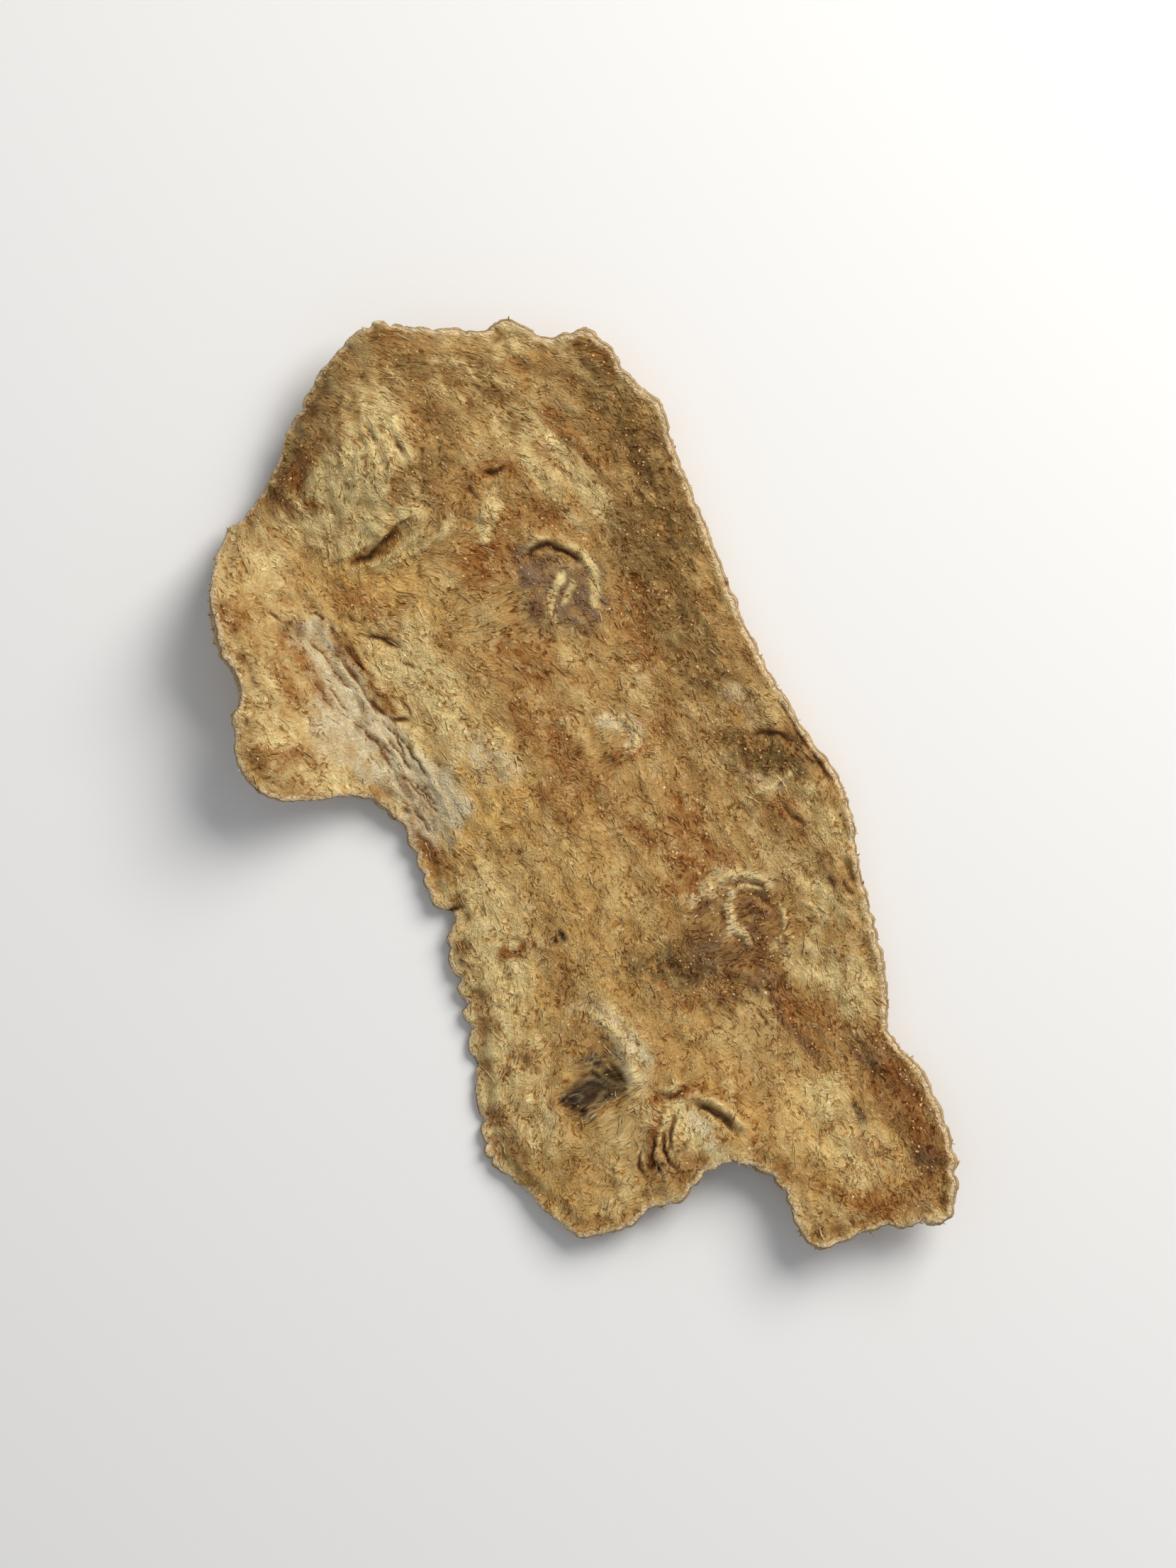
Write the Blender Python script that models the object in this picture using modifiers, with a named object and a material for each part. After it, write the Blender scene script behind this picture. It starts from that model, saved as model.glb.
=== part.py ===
"""One dried slice of angelica root, cut lengthwise: a thin wavy chip that ends in two root lobes.

The crown of the root is at +Y and the better cut face looks up. The slice lies on three low
spots in the plane z = 0, and the middle of its box is over the origin. Blender works in metres.
All values below are in millimetres, and the slice is drawn and bent in millimetres too: only the
last step, fit_to_size, stretches it to the exact LENGTH and WIDTH and turns it into metres.
"""

import math
from collections import namedtuple

import bmesh
import bpy
from mathutils import Vector, geometry, kdtree, noise

MM = 0.001

# Driving sizes.
LENGTH = 87.0
WIDTH = 45.0
THICKNESS = 1.9

# How finely the faceted solid is cut up: along its edge, over its faces and round its features.
EDGE_STEP = 0.8
COARSE_PITCH = 1.6
FINE_PITCH = COARSE_PITCH / 2
CURVE_STEPS = 24
EDGE_CLEARANCE = 0.6
LATTICE_REACH = (26.0, 48.0)

# A stretch of the edge: how deep its frills are, how long each is, and the points it runs through.
Edge = namedtuple("Edge", "name frill pitch points")
EDGES = (
    Edge(
        "crown",
        0.32,
        2.9,
        ((2.5, 43), (5, 41.6), (8.6, 39.8), (10.5, 39), (12.6, 38.9), (15.2, 36.4), (18, 35.9)),
    ),
    Edge("crown corner", 0.12, 2.8, ((19.5, 33.5), (20, 30.5), (21.3, 27.5), (21, 24.6))),
    Edge(
        "long bark edge",
        0.1,
        3.4,
        ((20.9, 22), (20.7, 16), (20.4, 9), (20.7, 4), (21.2, -1), (22.3, -6), (22, -10)),
    ),
    Edge("waist", 0.12, 2.8, ((21, -13.5), (20, -19), (18.9, -24.4), (17.8, -26.4), (17.7, -28.4))),
    Edge("right lobe side", 0.14, 2.6, ((18.7, -31.5), (18.7, -34.5), (18.5, -38.2), (16.6, -42.6))),
    Edge("right lobe tip", 0.26, 2.4, ((15.2, -43.3), (12.6, -42.6), (9.9, -41.6), (5.2, -41.3))),
    Edge("fork, right", 0.28, 2.2, ((4.2, -39.5), (4.4, -37), (4, -35), (2.4, -32.5))),
    Edge("fork", 0.36, 2.0, ((0.8, -31.6), (-1.1, -32), (-3.8, -32.9), (-6.5, -32.6))),
    Edge("left lobe tip", 0.2, 2.6, ((-8.2, -33.4), (-12.2, -32.7), (-13.6, -31), (-16, -25.9))),
    Edge(
        "knobbly bark edge",
        0.5,
        2.5,
        ((-17, -23.6), (-16.5, -20.6), (-15.2, -16.8), (-14.2, -13), (-13.3, -10), (-13, -6)),
    ),
    Edge("left waist", 0.45, 2.3, ((-11.6, -4.2), (-12.5, -2), (-12.5, 1.7), (-12.6, 5.5))),
    Edge("flap, lower side", 0.15, 2.8, ((-15, 8.4), (-18.6, 9.6), (-21.2, 11))),
    Edge(
        "flap, outer side",
        0.28,
        2.6,
        ((-22.4, 14.2), (-21.4, 17.7), (-19.8, 20.3), (-20, 24), (-18.5, 29), (-16.2, 32)),
    ),
    Edge("shoulder", 0.2, 2.8, ((-13.5, 33.2), (-9.8, 35.5), (-7, 38.2), (-2.2, 41.6))),
)

# Each knob of a frill bulges like a sine to this power. Slow noises along the edge make the knobs
# uneven in length and in height, and let the edge wander between them.
KNOB_POWER = 0.7
Unevenness = namedtuple("Unevenness", "rate seed amount")
KNOB_SPACING = Unevenness(0.37, 5.5, 0.9)
KNOB_STRENGTH = Unevenness(0.45, 3.7, 1.5)
EDGE_WANDER = Unevenness(0.6, 9.1, 1.3)
MEAN_STRENGTH = 0.75

# What the drying did to the flat slice, as lifts of its middle surface. A ramp goes from 0 at
# `start` to 1 at `start + run`.
Ramp = namedtuple("Ramp", "start run")
CROWN_CURL = 3.4
TIP_CURL = 2.8
FLAT_MIDDLE = 12.0
CURL_RUN = 29.0
SPINE_RISE = 0.9
SPINE_WIDTH = 8.0
BARK_EDGE_CURL = 2.6
BARK_EDGE_RAMP = Ramp(11.0, 15.0)
FLAP_LIFT = 5.6
FLAP_RAMP = Ramp(-9.5, -12.0)
FLAP_FOOT_RAMP = Ramp(1.0, 10.0)
FLAP_HEAD_RAMP = Ramp(37.0, -12.0)
KNOBBLY_EDGE_DROOP = 0.7
KNOBBLY_EDGE_RAMP = Ramp(-11.5, -5.0)
KNOBBLY_HEAD_RAMP = Ramp(2.0, -6.0)
SHOULDER_DROOP = 3.2
SHOULDER_FACING = (-0.62, 0.78)
SHOULDER_RAMP = Ramp(29.5, 8.0)
SHOULDER_FOOT_RAMP = Ramp(26.0, 8.0)
WAVE_HEIGHT = 0.35
WAVE_LENGTH = 15.0
WAVE_SEED = 1.3

# Round swellings and hollows of the whole sheet: x, y, radius across, radius along, lift.
Swell = namedtuple("Swell", "x y across along lift")
SWELLS = (
    Swell(-1.0, 33.0, 7.0, 4.6, 2.6),
    Swell(-4.5, 24.4, 6.0, 2.2, -0.9),
    Swell(9.0, -14.5, 4.5, 4.5, 0.7),
    Swell(-6.5, -24.0, 6.0, 5.0, 0.9),
    Swell(11.5, -32.0, 4.5, 8.0, 1.1),
    Swell(0.6, -30.5, 3.0, 3.0, 1.2),
)

# The fold where the flap turns up from the slice, with the fibres crumpled along it.
FOLD = ((-13.0, 25.5), (-10.8, 19.5), (-9.3, 12.5), (-8.7, 8.0), (-10.2, -0.5))
FOLD_WIDTH = 2.4
FOLD_DEPTH = 0.5
CRUMPLE_HEIGHT = 0.54
CRUMPLE_PITCH = 1.8
CRUMPLE_RUN = 6.0
CRUMPLE_SEED = 7.0

# Scars of side roots on the upper face: a ring round a bowl, and a core that stands in it. The
# widths are shares of the knot's radius.
RING_WIDTH = 0.3
BOWL_WIDTH = 0.7
CORE_WIDTH = 0.3
DETAIL_REACH = 1.35
Knot = namedtuple("Knot", "name x y across along ring bowl core")
KNOTS = (
    Knot("eye", 7.4, 17.8, 2.3, 3.6, 0.14, 0.24, 0.26),
    Knot("slip", 4.2, 25.4, 1.0, 2.4, 0.06, 0.06, 0.26),
    Knot("whorl", 10.9, -14.1, 3.1, 3.3, 0.24, 0.22, 0.16),
    Knot("swirl", 7.6, 3.8, 1.6, 1.9, 0.10, 0.08, 0.10),
    Knot("pit", -6.0, -22.4, 2.2, 1.9, 0.16, 0.85, 0.10),
    Knot("pock", -7.8, -8.4, 1.0, 1.0, 0.06, 0.14, 0.16),
)

# Splits and raised fibres on the upper face: a line, its half width and how far it goes in or out.
Line = namedtuple("Line", "name points width lift")
LINES = (
    Line("tear under the shoulder", ((-7.0, 26.2), (-4.6, 26.7), (-2.2, 27.5)), 0.6, -0.6),
    Line("lip over the tear", ((-7.4, 27.6), (-4.6, 28.1), (-1.0, 28.9)), 0.9, 0.35),
    Line("check in the bark edge", ((17.8, -0.4), (20.4, -2.4)), 0.5, -0.35),
    Line("seam of the lobes", ((-5.0, -16.0), (-3.0, -20.0), (-2.1, -24.0), (-2.8, -28.0)), 0.8, 0.5),
    Line("lip of the fork", ((-2.6, -24.5), (0.4, -26.3), (2.3, -29.6)), 0.7, 0.4),
    Line("slot beside the fork", ((-0.6, -27.2), (-1.3, -30.2)), 0.7, -0.5),
)

# The fibres of the wood: fine ridges that fan out into the left lobe and part round each knot.
FIBRE_HEIGHT = 0.22
FIBRE_PITCH = 2.2
FIBRE_RUN = 9.0
FAN_TOP = -8.0
FAN_SPREAD = 0.4
FAN_RAMP = Ramp(2.0, -8.0)
MOST_PARTING = 1.1
UNDERSIDE_SEED = 40.0

# The three spots that the slice lies on, each pressed flat, and how thin its edge is.
FEET = ((-9.2, 7.5), (12.0, 13.0), (12.0, -8.0))
FOOT_RADIUS = 2.4
FOOT_PRESS = 0.15
EDGE_THINNING = 0.42
THIN_BAND = 1.8
STEEP_FACE = 0.35

COLLECTION = "dried_angelica_root"
SLICE = "root_slice"
ROOT_TAN = (0.44, 0.27, 0.12, 1.0)
ROOT_ROUGHNESS = 0.78


def smooth(t):
    """0 below 0, 1 above 1, and an S curve between."""
    t = min(max(t, 0.0), 1.0)
    return t * t * (3.0 - 2.0 * t)


def share(ramp, value):
    """How far up a ramp a value is, from 0 to 1."""
    return smooth((value - ramp.start) / ramp.run)


def bell(t):
    """1 at 0, falling smoothly to almost nothing at 2."""
    return math.exp(-t * t)


def catmull_rom(before, start, end, after, t):
    """A point on the curve from start to end, at t from 0 to 1."""
    slope_in, slope_out = (end - before) / 2, (after - start) / 2
    return (
        start * (2 * t**3 - 3 * t**2 + 1)
        + slope_in * (t**3 - 2 * t**2 + t)
        + end * (3 * t**2 - 2 * t**3)
        + slope_out * (t**3 - t**2)
    )


def frilled_outline():
    """The edge of the flat slice as a dense closed line, with the frills of each stretch."""
    marks = [(Vector(p), edge.frill, edge.pitch) for edge in EDGES for p in edge.points]
    count = len(marks)
    line, frills, phase = [], [], 0.0
    for i in range(count):
        points = [marks[(i + k) % count][0] for k in (-1, 0, 1, 2)]
        span = (points[2] - points[1]).length
        for step in range(CURVE_STEPS):
            t = step / CURVE_STEPS
            line.append(catmull_rom(*points, t))
            frill = marks[i][1] * (1 - t) + marks[(i + 1) % count][1] * t
            frills.append((frill, phase))
            phase += span / CURVE_STEPS / marks[i][2]
    return [
        point + outward(line, i) * frill * frill_shape(phase)
        for i, (point, (frill, phase)) in enumerate(zip(line, frills))
    ]


def outward(line, i):
    """The outward normal of a clockwise line at point i."""
    along = line[(i + 1) % len(line)] - line[i - 1]
    return Vector((-along.y, along.x)).normalized()


def uneven(noise_along, phase):
    """A slow noise along the edge."""
    return noise_along.amount * noise.noise((phase * noise_along.rate, noise_along.seed, 0.0))


def frill_shape(phase):
    """Rounded knobs with sharp clefts between them, of uneven size, about 0 on average."""
    phase += uneven(KNOB_SPACING, phase)
    knob = abs(math.sin(math.pi * phase)) ** KNOB_POWER - KNOB_POWER
    strength = max(0.0, MEAN_STRENGTH + uneven(KNOB_STRENGTH, phase))
    return knob * strength + uneven(EDGE_WANDER, phase)


def evenly(line, step):
    """Points on a closed line, about `step` apart."""
    spans = [(line[(i + 1) % len(line)] - line[i]).length for i in range(len(line))]
    total = sum(spans)
    count = round(total / step)
    points, walked, i = [], 0.0, 0
    for k in range(count):
        target = total * k / count
        while walked + spans[i] < target:
            walked += spans[i]
            i += 1
        points.append(line[i].lerp(line[(i + 1) % len(line)], (target - walked) / spans[i]))
    return points


def tree_of(points):
    """A nearest-point search over flat points."""
    tree = kdtree.KDTree(len(points))
    for i, point in enumerate(points):
        tree.insert((point.x, point.y, 0.0), i)
    tree.balance()
    return tree


def distance_to_line(x, y, points):
    """How far (x, y) is from a line of points."""
    best = math.inf
    for (ax, ay), (bx, by) in zip(points, points[1:]):
        run_x, run_y = bx - ax, by - ay
        t = ((x - ax) * run_x + (y - ay) * run_y) / (run_x**2 + run_y**2)
        t = min(max(t, 0.0), 1.0)
        best = min(best, math.hypot(x - ax - t * run_x, y - ay - t * run_y))
    return best


def needs_detail(x, y):
    """Whether a feature lies close enough to (x, y) for the finer pitch."""
    if any(knot_reach(knot, x, y) < DETAIL_REACH for knot in KNOTS):
        return True
    if any(distance_to_line(x, y, line.points) < DETAIL_REACH * line.width for line in LINES):
        return True
    return distance_to_line(x, y, FOLD) < FOLD_WIDTH


def knot_reach(knot, x, y):
    """Distance from a knot's middle as a share of its radius: 1 on its ring."""
    return math.hypot((x - knot.x) / knot.across, (y - knot.y) / knot.along)


def lattice(edge, edge_tree):
    """Points over the slice in a triangular pattern, denser round its features."""
    points = []
    row_height = FINE_PITCH * math.sqrt(3) / 2
    columns = int(LATTICE_REACH[0] / FINE_PITCH)
    rows = int(LATTICE_REACH[1] / row_height)
    for row in range(-rows, rows + 1):
        for column in range(-columns, columns + 1):
            y = row * row_height
            x = (column + 0.5 * (row % 2)) * FINE_PITCH
            coarse = row % 2 == 0 and (column + row // 2) % 2 == 0
            _, nearest, from_edge = edge_tree.find((x, y, 0.0))
            inward = (edge[nearest] - Vector((x, y))).dot(outward(edge, nearest))
            if from_edge < EDGE_CLEARANCE or inward < 0:
                continue
            if coarse or needs_detail(x, y):
                points.append(Vector((x, y)))
    return points


def grain(x, y):
    """(across, along) the fibres at a place: they fan into the lobes and part round each knot."""
    across = x + FAN_SPREAD * max(0.0, FAN_TOP - y) * share(FAN_RAMP, x)
    along = y
    for knot in KNOTS:
        dx, dy = x - knot.x, y - knot.y
        push = min(MOST_PARTING, knot.across**2 / (dx * dx + dy * dy + 0.1))
        across -= dx * push
        along += dy * push
    return across, along


def bend(x, y):
    """The height of the sheet's middle surface before it is laid down."""
    z = CROWN_CURL * (max(0.0, y - FLAT_MIDDLE) / CURL_RUN) ** 2
    z += TIP_CURL * (max(0.0, -y - FLAT_MIDDLE) / CURL_RUN) ** 2
    z += SPINE_RISE * bell(x / SPINE_WIDTH)
    z += BARK_EDGE_CURL * share(BARK_EDGE_RAMP, x)
    z += FLAP_LIFT * share(FLAP_RAMP, x) * share(FLAP_FOOT_RAMP, y) * share(FLAP_HEAD_RAMP, y)
    z -= KNOBBLY_EDGE_DROOP * share(KNOBBLY_EDGE_RAMP, x) * share(KNOBBLY_HEAD_RAMP, y)
    to_shoulder = SHOULDER_FACING[0] * x + SHOULDER_FACING[1] * y
    z -= SHOULDER_DROOP * share(SHOULDER_RAMP, to_shoulder) * share(SHOULDER_FOOT_RAMP, y)
    for swell in SWELLS:
        z += swell.lift * bell(math.hypot((x - swell.x) / swell.across, (y - swell.y) / swell.along))
    z -= FOLD_DEPTH * bell(distance_to_line(x, y, FOLD) / FOLD_WIDTH)
    z += WAVE_HEIGHT * noise.noise((x / WAVE_LENGTH, y / WAVE_LENGTH, WAVE_SEED))
    return z


def foot_plane():
    """The plane through the sheet at its three feet, as (height at 0, slope in x, slope in y)."""
    first, second, third = (Vector((x, y, bend(x, y))) for x, y in FEET)
    normal = (second - first).cross(third - first)
    slope_x, slope_y = -normal.x / normal.z, -normal.y / normal.z
    return first.z - slope_x * first.x - slope_y * first.y, slope_x, slope_y


def lift(x, y, plane):
    """The height of the middle surface over the table, with the feet a little under it."""
    return bend(x, y) - plane[0] - plane[1] * x - plane[2] * y + THICKNESS / 2 - FOOT_PRESS


def relief(x, y, top):
    """How far the skin stands off the even sheet, along its outward normal."""
    across, along = grain(x, y)
    side = 0.0 if top else UNDERSIDE_SEED
    height = FIBRE_HEIGHT * noise.noise((across / FIBRE_PITCH, along / FIBRE_RUN, side))
    crumple = noise.noise((x / CRUMPLE_PITCH, y / CRUMPLE_RUN, side + CRUMPLE_SEED))
    height += CRUMPLE_HEIGHT * crumple * bell(distance_to_line(x, y, FOLD) / FOLD_WIDTH)
    if not top:
        return height
    for knot in KNOTS:
        reach = knot_reach(knot, x, y)
        height += knot.ring * bell((reach - 1.0) / RING_WIDTH)
        height -= knot.bowl * bell((reach / BOWL_WIDTH) ** 2)
        height += knot.core * bell(reach / CORE_WIDTH)
    for line in LINES:
        height += line.lift * bell(distance_to_line(x, y, line.points) / line.width)
    return height


def flat_sheet():
    """(mesh, edge tree): the slice as one flat open sheet with the frilled outline."""
    edge = frilled_outline()
    rim = evenly(edge, EDGE_STEP)
    edge_tree = tree_of(edge)
    points = rim + lattice(edge, edge_tree)
    inside_only = 1
    made = geometry.delaunay_2d_cdt(points, [], [list(range(len(rim)))], inside_only, 1e-5)
    mesh = bpy.data.meshes.new(SLICE)
    mesh.from_pydata([(p.x, p.y, 0.0) for p in made[0]], [], made[2])
    return mesh, edge_tree


def bent_sheet():
    """An object: the sheet bent to shape in millimetres, with the group that thins its edge."""
    mesh, edge_tree = flat_sheet()
    sheet = bpy.data.objects.new(SLICE, mesh)
    full = sheet.vertex_groups.new(name="full_thickness")
    plane = foot_plane()
    for vertex in mesh.vertices:
        x, y, _ = vertex.co
        from_edge = edge_tree.find((x, y, 0.0))[2]
        thickness = 1.0 - EDGE_THINNING * (1.0 - smooth(from_edge / THIN_BAND))
        full.add([vertex.index], thickness, "REPLACE")
        vertex.co.z = lift(x, y, plane)
    return sheet


def thickened(sheet):
    """The closed solid of the sheet, as a mesh."""
    solidify = sheet.modifiers.new("thickness", "SOLIDIFY")
    solidify.thickness = THICKNESS
    solidify.offset = 0.0
    solidify.vertex_group = "full_thickness"
    bpy.context.scene.collection.objects.link(sheet)
    graph = bpy.context.evaluated_depsgraph_get()
    mesh = bpy.data.meshes.new_from_object(sheet.evaluated_get(graph))
    bpy.data.objects.remove(sheet)
    return mesh


def carve(mesh):
    """Raises the fibres, knots and tears on both faces of the solid, and presses its feet flat."""
    shape = bmesh.new()
    shape.from_mesh(mesh)
    bmesh.ops.recalc_face_normals(shape, faces=shape.faces)
    shape.normal_update()
    facing = [vertex.normal.copy() for vertex in shape.verts]
    for vertex, normal in zip(shape.verts, facing):
        if abs(normal.z) > STEEP_FACE:
            vertex.co += normal * relief(vertex.co.x, vertex.co.y, normal.z > 0)
    for vertex, normal in zip(shape.verts, facing):
        nearest = min((vertex.co.xy - Vector(foot)).length for foot in FEET)
        if normal.z < 0 and (nearest < FOOT_RADIUS or vertex.co.z < 0):
            vertex.co.z = 0.0
    shape.to_mesh(mesh)
    shape.free()


def fit_to_size(mesh):
    """Puts the middle of the box over the origin, stretches it to size and turns it into metres."""
    for axis, size in enumerate((WIDTH, LENGTH)):
        places = [vertex.co[axis] for vertex in mesh.vertices]
        low, high = min(places), max(places)
        for vertex in mesh.vertices:
            vertex.co[axis] = (vertex.co[axis] - (low + high) / 2) * size * MM / (high - low)
    for vertex in mesh.vertices:
        vertex.co.z *= MM


def root_material():
    """Dried root, tan and dull."""
    material = bpy.data.materials.new("dried_root")
    material.use_nodes = True
    shader = material.node_tree.nodes["Principled BSDF"]
    shader.inputs["Base Color"].default_value = ROOT_TAN
    shader.inputs["Roughness"].default_value = ROOT_ROUGHNESS
    shader.inputs["Metallic"].default_value = 0.0
    return material


def main():
    for old in list(bpy.data.objects):
        bpy.data.objects.remove(old)
    part = bpy.data.collections.new(COLLECTION)
    bpy.context.scene.collection.children.link(part)
    mesh = thickened(bent_sheet())
    carve(mesh)
    fit_to_size(mesh)
    mesh.name = SLICE
    mesh.materials.append(root_material())
    root_slice = bpy.data.objects.new(SLICE, mesh)
    part.objects.link(root_slice)
    mesh.shade_smooth()


main()
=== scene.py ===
"""The looks of one dried slice of angelica root: its fibrous cut faces, torn rims and stains.

The slice is drawn flat in millimetres, the same way as its solid: +Y to the crown, +X to the long
bark edge. It is then bent, given its fine relief and turned into metres, in the solid's own box.
"""

import math
from collections import namedtuple

import bpy
import numpy as np
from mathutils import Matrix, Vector, geometry, kdtree, noise


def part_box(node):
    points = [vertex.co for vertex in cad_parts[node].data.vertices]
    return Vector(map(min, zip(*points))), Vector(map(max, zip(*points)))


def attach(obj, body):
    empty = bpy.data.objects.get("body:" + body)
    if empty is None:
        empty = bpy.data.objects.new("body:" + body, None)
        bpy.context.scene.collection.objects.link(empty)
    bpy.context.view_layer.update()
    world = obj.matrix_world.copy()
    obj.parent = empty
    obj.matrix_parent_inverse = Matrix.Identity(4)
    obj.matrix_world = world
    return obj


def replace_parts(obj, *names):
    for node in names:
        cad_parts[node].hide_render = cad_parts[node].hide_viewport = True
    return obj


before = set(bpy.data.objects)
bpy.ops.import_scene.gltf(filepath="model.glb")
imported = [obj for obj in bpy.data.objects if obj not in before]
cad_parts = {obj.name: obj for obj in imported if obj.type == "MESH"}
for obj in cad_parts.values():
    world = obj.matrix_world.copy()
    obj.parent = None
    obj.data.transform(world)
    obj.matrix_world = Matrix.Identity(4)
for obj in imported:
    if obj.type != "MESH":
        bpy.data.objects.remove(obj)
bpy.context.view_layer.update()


def filled(kind, *rows):
    """Things of one kind, made from a row of values for each."""
    return [kind(*row) for row in rows]


MM = 0.001
SLICE_NODE = "root_slice"
BODY = "root"

# How finely the skin is cut up: pitches in millimetres, JITTER as a share of a pitch.
CURVE_STEPS = 40
RIM_STEP = 0.24
TOP_PITCH = 0.3
DETAIL_PITCH = 0.2
UNDER_PITCH = 0.38
EDGE_CLEARANCE = 0.14
JITTER = 0.22
LATTICE_SEED = 5
MERGE_DISTANCE = 1e-6
RIM_ROWS = 6
LATTICE_REACH = (24.5, 46.0)
SLOPE_STEP = 0.05

THICKNESS = 1.9
EDGE_THINNING = 0.42
THIN_BAND = 1.8
FEET = ((-9.2, 7.5), (12, 13), (12, -8))
FOOT_FLAT = 1.5
FOOT_BLEND = 1.6
FOOT_PRESS = 0.15

# A stretch of the edge: how deep its frills are, how long each is, and the points it runs through.
Edge = namedtuple("Edge", "name frill pitch points")
EDGES = filled(
    Edge,
    ("crown", 0.32, 2.9,
     ((2.5, 43), (5, 41.6), (8.6, 39.8), (10.5, 39), (12.6, 38.9), (15.2, 36.4), (18, 35.9))),
    ("crown corner", 0.12, 2.8, ((19.5, 33.5), (20, 30.5), (21.3, 27.5), (21, 24.6))),
    ("long bark edge", 0.1, 3.4,
     ((20.9, 22), (20.7, 16), (20.4, 9), (20.7, 4), (21.2, -1), (22.3, -6), (22, -10))),
    ("waist", 0.12, 2.8, ((21, -13.5), (20, -19), (18.9, -24.4), (17.8, -26.4), (17.7, -28.4))),
    ("right lobe side", 0.14, 2.6, ((18.7, -31.5), (18.7, -34.5), (18.5, -38.2), (16.6, -42.6))),
    ("right lobe tip", 0.26, 2.4, ((15.2, -43.3), (12.6, -42.6), (9.9, -41.6), (5.2, -41.3))),
    ("fork, right", 0.28, 2.2, ((4.2, -39.5), (4.4, -37), (4, -35), (2.4, -32.5))),
    ("fork", 0.36, 2.0, ((0.8, -31.6), (-1.1, -32), (-3.8, -32.9), (-6.5, -32.6))),
    ("left lobe tip", 0.2, 2.6, ((-8.2, -33.4), (-12.2, -32.7), (-13.6, -31), (-16, -25.9))),
    ("knobbly bark edge", 0.5, 2.5,
     ((-17, -23.6), (-16.5, -20.6), (-15.2, -16.8), (-14.2, -13), (-13.3, -10), (-13, -6))),
    ("left waist", 0.45, 2.3, ((-11.6, -4.2), (-12.5, -2), (-12.5, 1.7), (-12.6, 5.5))),
    ("flap, lower side", 0.15, 2.8, ((-15, 8.4), (-18.6, 9.6), (-21.2, 11))),
    ("flap, outer side", 0.28, 2.6,
     ((-22.4, 14.2), (-21.4, 17.7), (-19.8, 20.3), (-20, 24), (-18.5, 29), (-16.2, 32))),
    ("shoulder", 0.2, 2.8, ((-13.5, 33.2), (-9.8, 35.5), (-7, 38.2), (-2.2, 41.6))),
)
KNOB_POWER = 0.7
Unevenness = namedtuple("Unevenness", "rate seed amount")
KNOB_SPACING = Unevenness(0.37, 5.5, 0.9)
KNOB_STRENGTH = Unevenness(0.45, 3.7, 1.5)
EDGE_WANDER = Unevenness(0.6, 9.1, 1.3)
MEAN_STRENGTH = 0.75

# The torn fibres that roughen the edge: how deep and how long, from coarse to fine.
TEARS = ((0.16, 0.8), (0.08, 0.33))

# What the drying did to the flat slice. A ramp goes from 0 at `start` to 1 at `start + run`.
Ramp = namedtuple("Ramp", "start run")
CROWN_CURL = 3.4
TIP_CURL = 2.8
FLAT_MIDDLE = 12.0
CURL_RUN = 29.0
SPINE_RISE = 0.9
SPINE_WIDTH = 8.0
BARK_EDGE_CURL = 2.6
BARK_EDGE_RAMP = Ramp(11.0, 15.0)
FLAP_LIFT = 5.6
FLAP_RAMP = Ramp(-9.5, -12.0)
FLAP_FOOT_RAMP = Ramp(1.0, 10.0)
FLAP_HEAD_RAMP = Ramp(37.0, -12.0)
KNOBBLY_EDGE_DROOP = 0.7
KNOBBLY_EDGE_RAMP = Ramp(-11.5, -5.0)
KNOBBLY_HEAD_RAMP = Ramp(2.0, -6.0)
SHOULDER_DROOP = 3.2
SHOULDER_FACING = (-0.62, 0.78)
SHOULDER_RAMP = Ramp(29.5, 8.0)
SHOULDER_FOOT_RAMP = Ramp(26.0, 8.0)
WAVE_HEIGHT = 0.35
WAVE_LENGTH = 15.0
WAVE_SEED = 1.3

Swell = namedtuple("Swell", "x y across along lift")
SWELLS = filled(
    Swell,
    (-1, 33, 7, 4.6, 2.6),
    (-4.5, 24.4, 6, 2.2, -0.9),
    (9, -14.5, 4.5, 4.5, 0.7),
    (-6.5, -24, 6, 5, 0.9),
    (11.5, -32, 4.5, 8, 1.1),
    (0.6, -30.5, 3, 3, 1.2),
)

# The fold where the flap turns up from the slice.
FOLD = ((-13, 25.5), (-10.8, 19.5), (-9.3, 12.5), (-8.7, 8), (-10.2, -0.5))
FOLD_WIDTH = 2.4
FOLD_DEPTH = 0.2
CRUMPLE_HEIGHT = 0.22
CRUMPLE_PITCH = 1.8
CRUMPLE_RUN = 6.0
CRUMPLE_SEED = 7.0
RIDGE_HEIGHT = 0.14
RIDGE_PITCH = 1.1
RIDGE_RUN = 3.4
RIDGE_CREST = 0.35
RIDGE_STEEPNESS = 2.0
RIDGE_SEED = 20

# Scars of side roots on the upper face: a ring round a bowl, and a core that stands in it.
# DETAIL_REACH is how far out the finer pitch goes, as a share of the radius.
RING_WIDTH = 0.3
BOWL_WIDTH = 0.7
CORE_WIDTH = 0.3
DETAIL_REACH = 1.35
Knot = namedtuple("Knot", "name x y across along ring bowl core")
KNOTS = filled(
    Knot,
    ("eye", 7.4, 17.8, 2.3, 3.6, 0.14, 0.24, 0.26),
    ("slip", 4.2, 25.4, 1, 2.4, 0.06, 0.06, 0.26),
    ("whorl", 10.9, -14.1, 3.1, 3.3, 0.06, 0.06, 0),
    ("swirl", 7.6, 3.8, 1.6, 1.9, 0.10, 0.08, 0.10),
    ("pit", -6, -22.4, 2.2, 1.9, 0.16, 0.85, 0.10),
    ("pock", -7.8, -8.4, 1, 1, 0.06, 0.14, 0.16),
)
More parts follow.
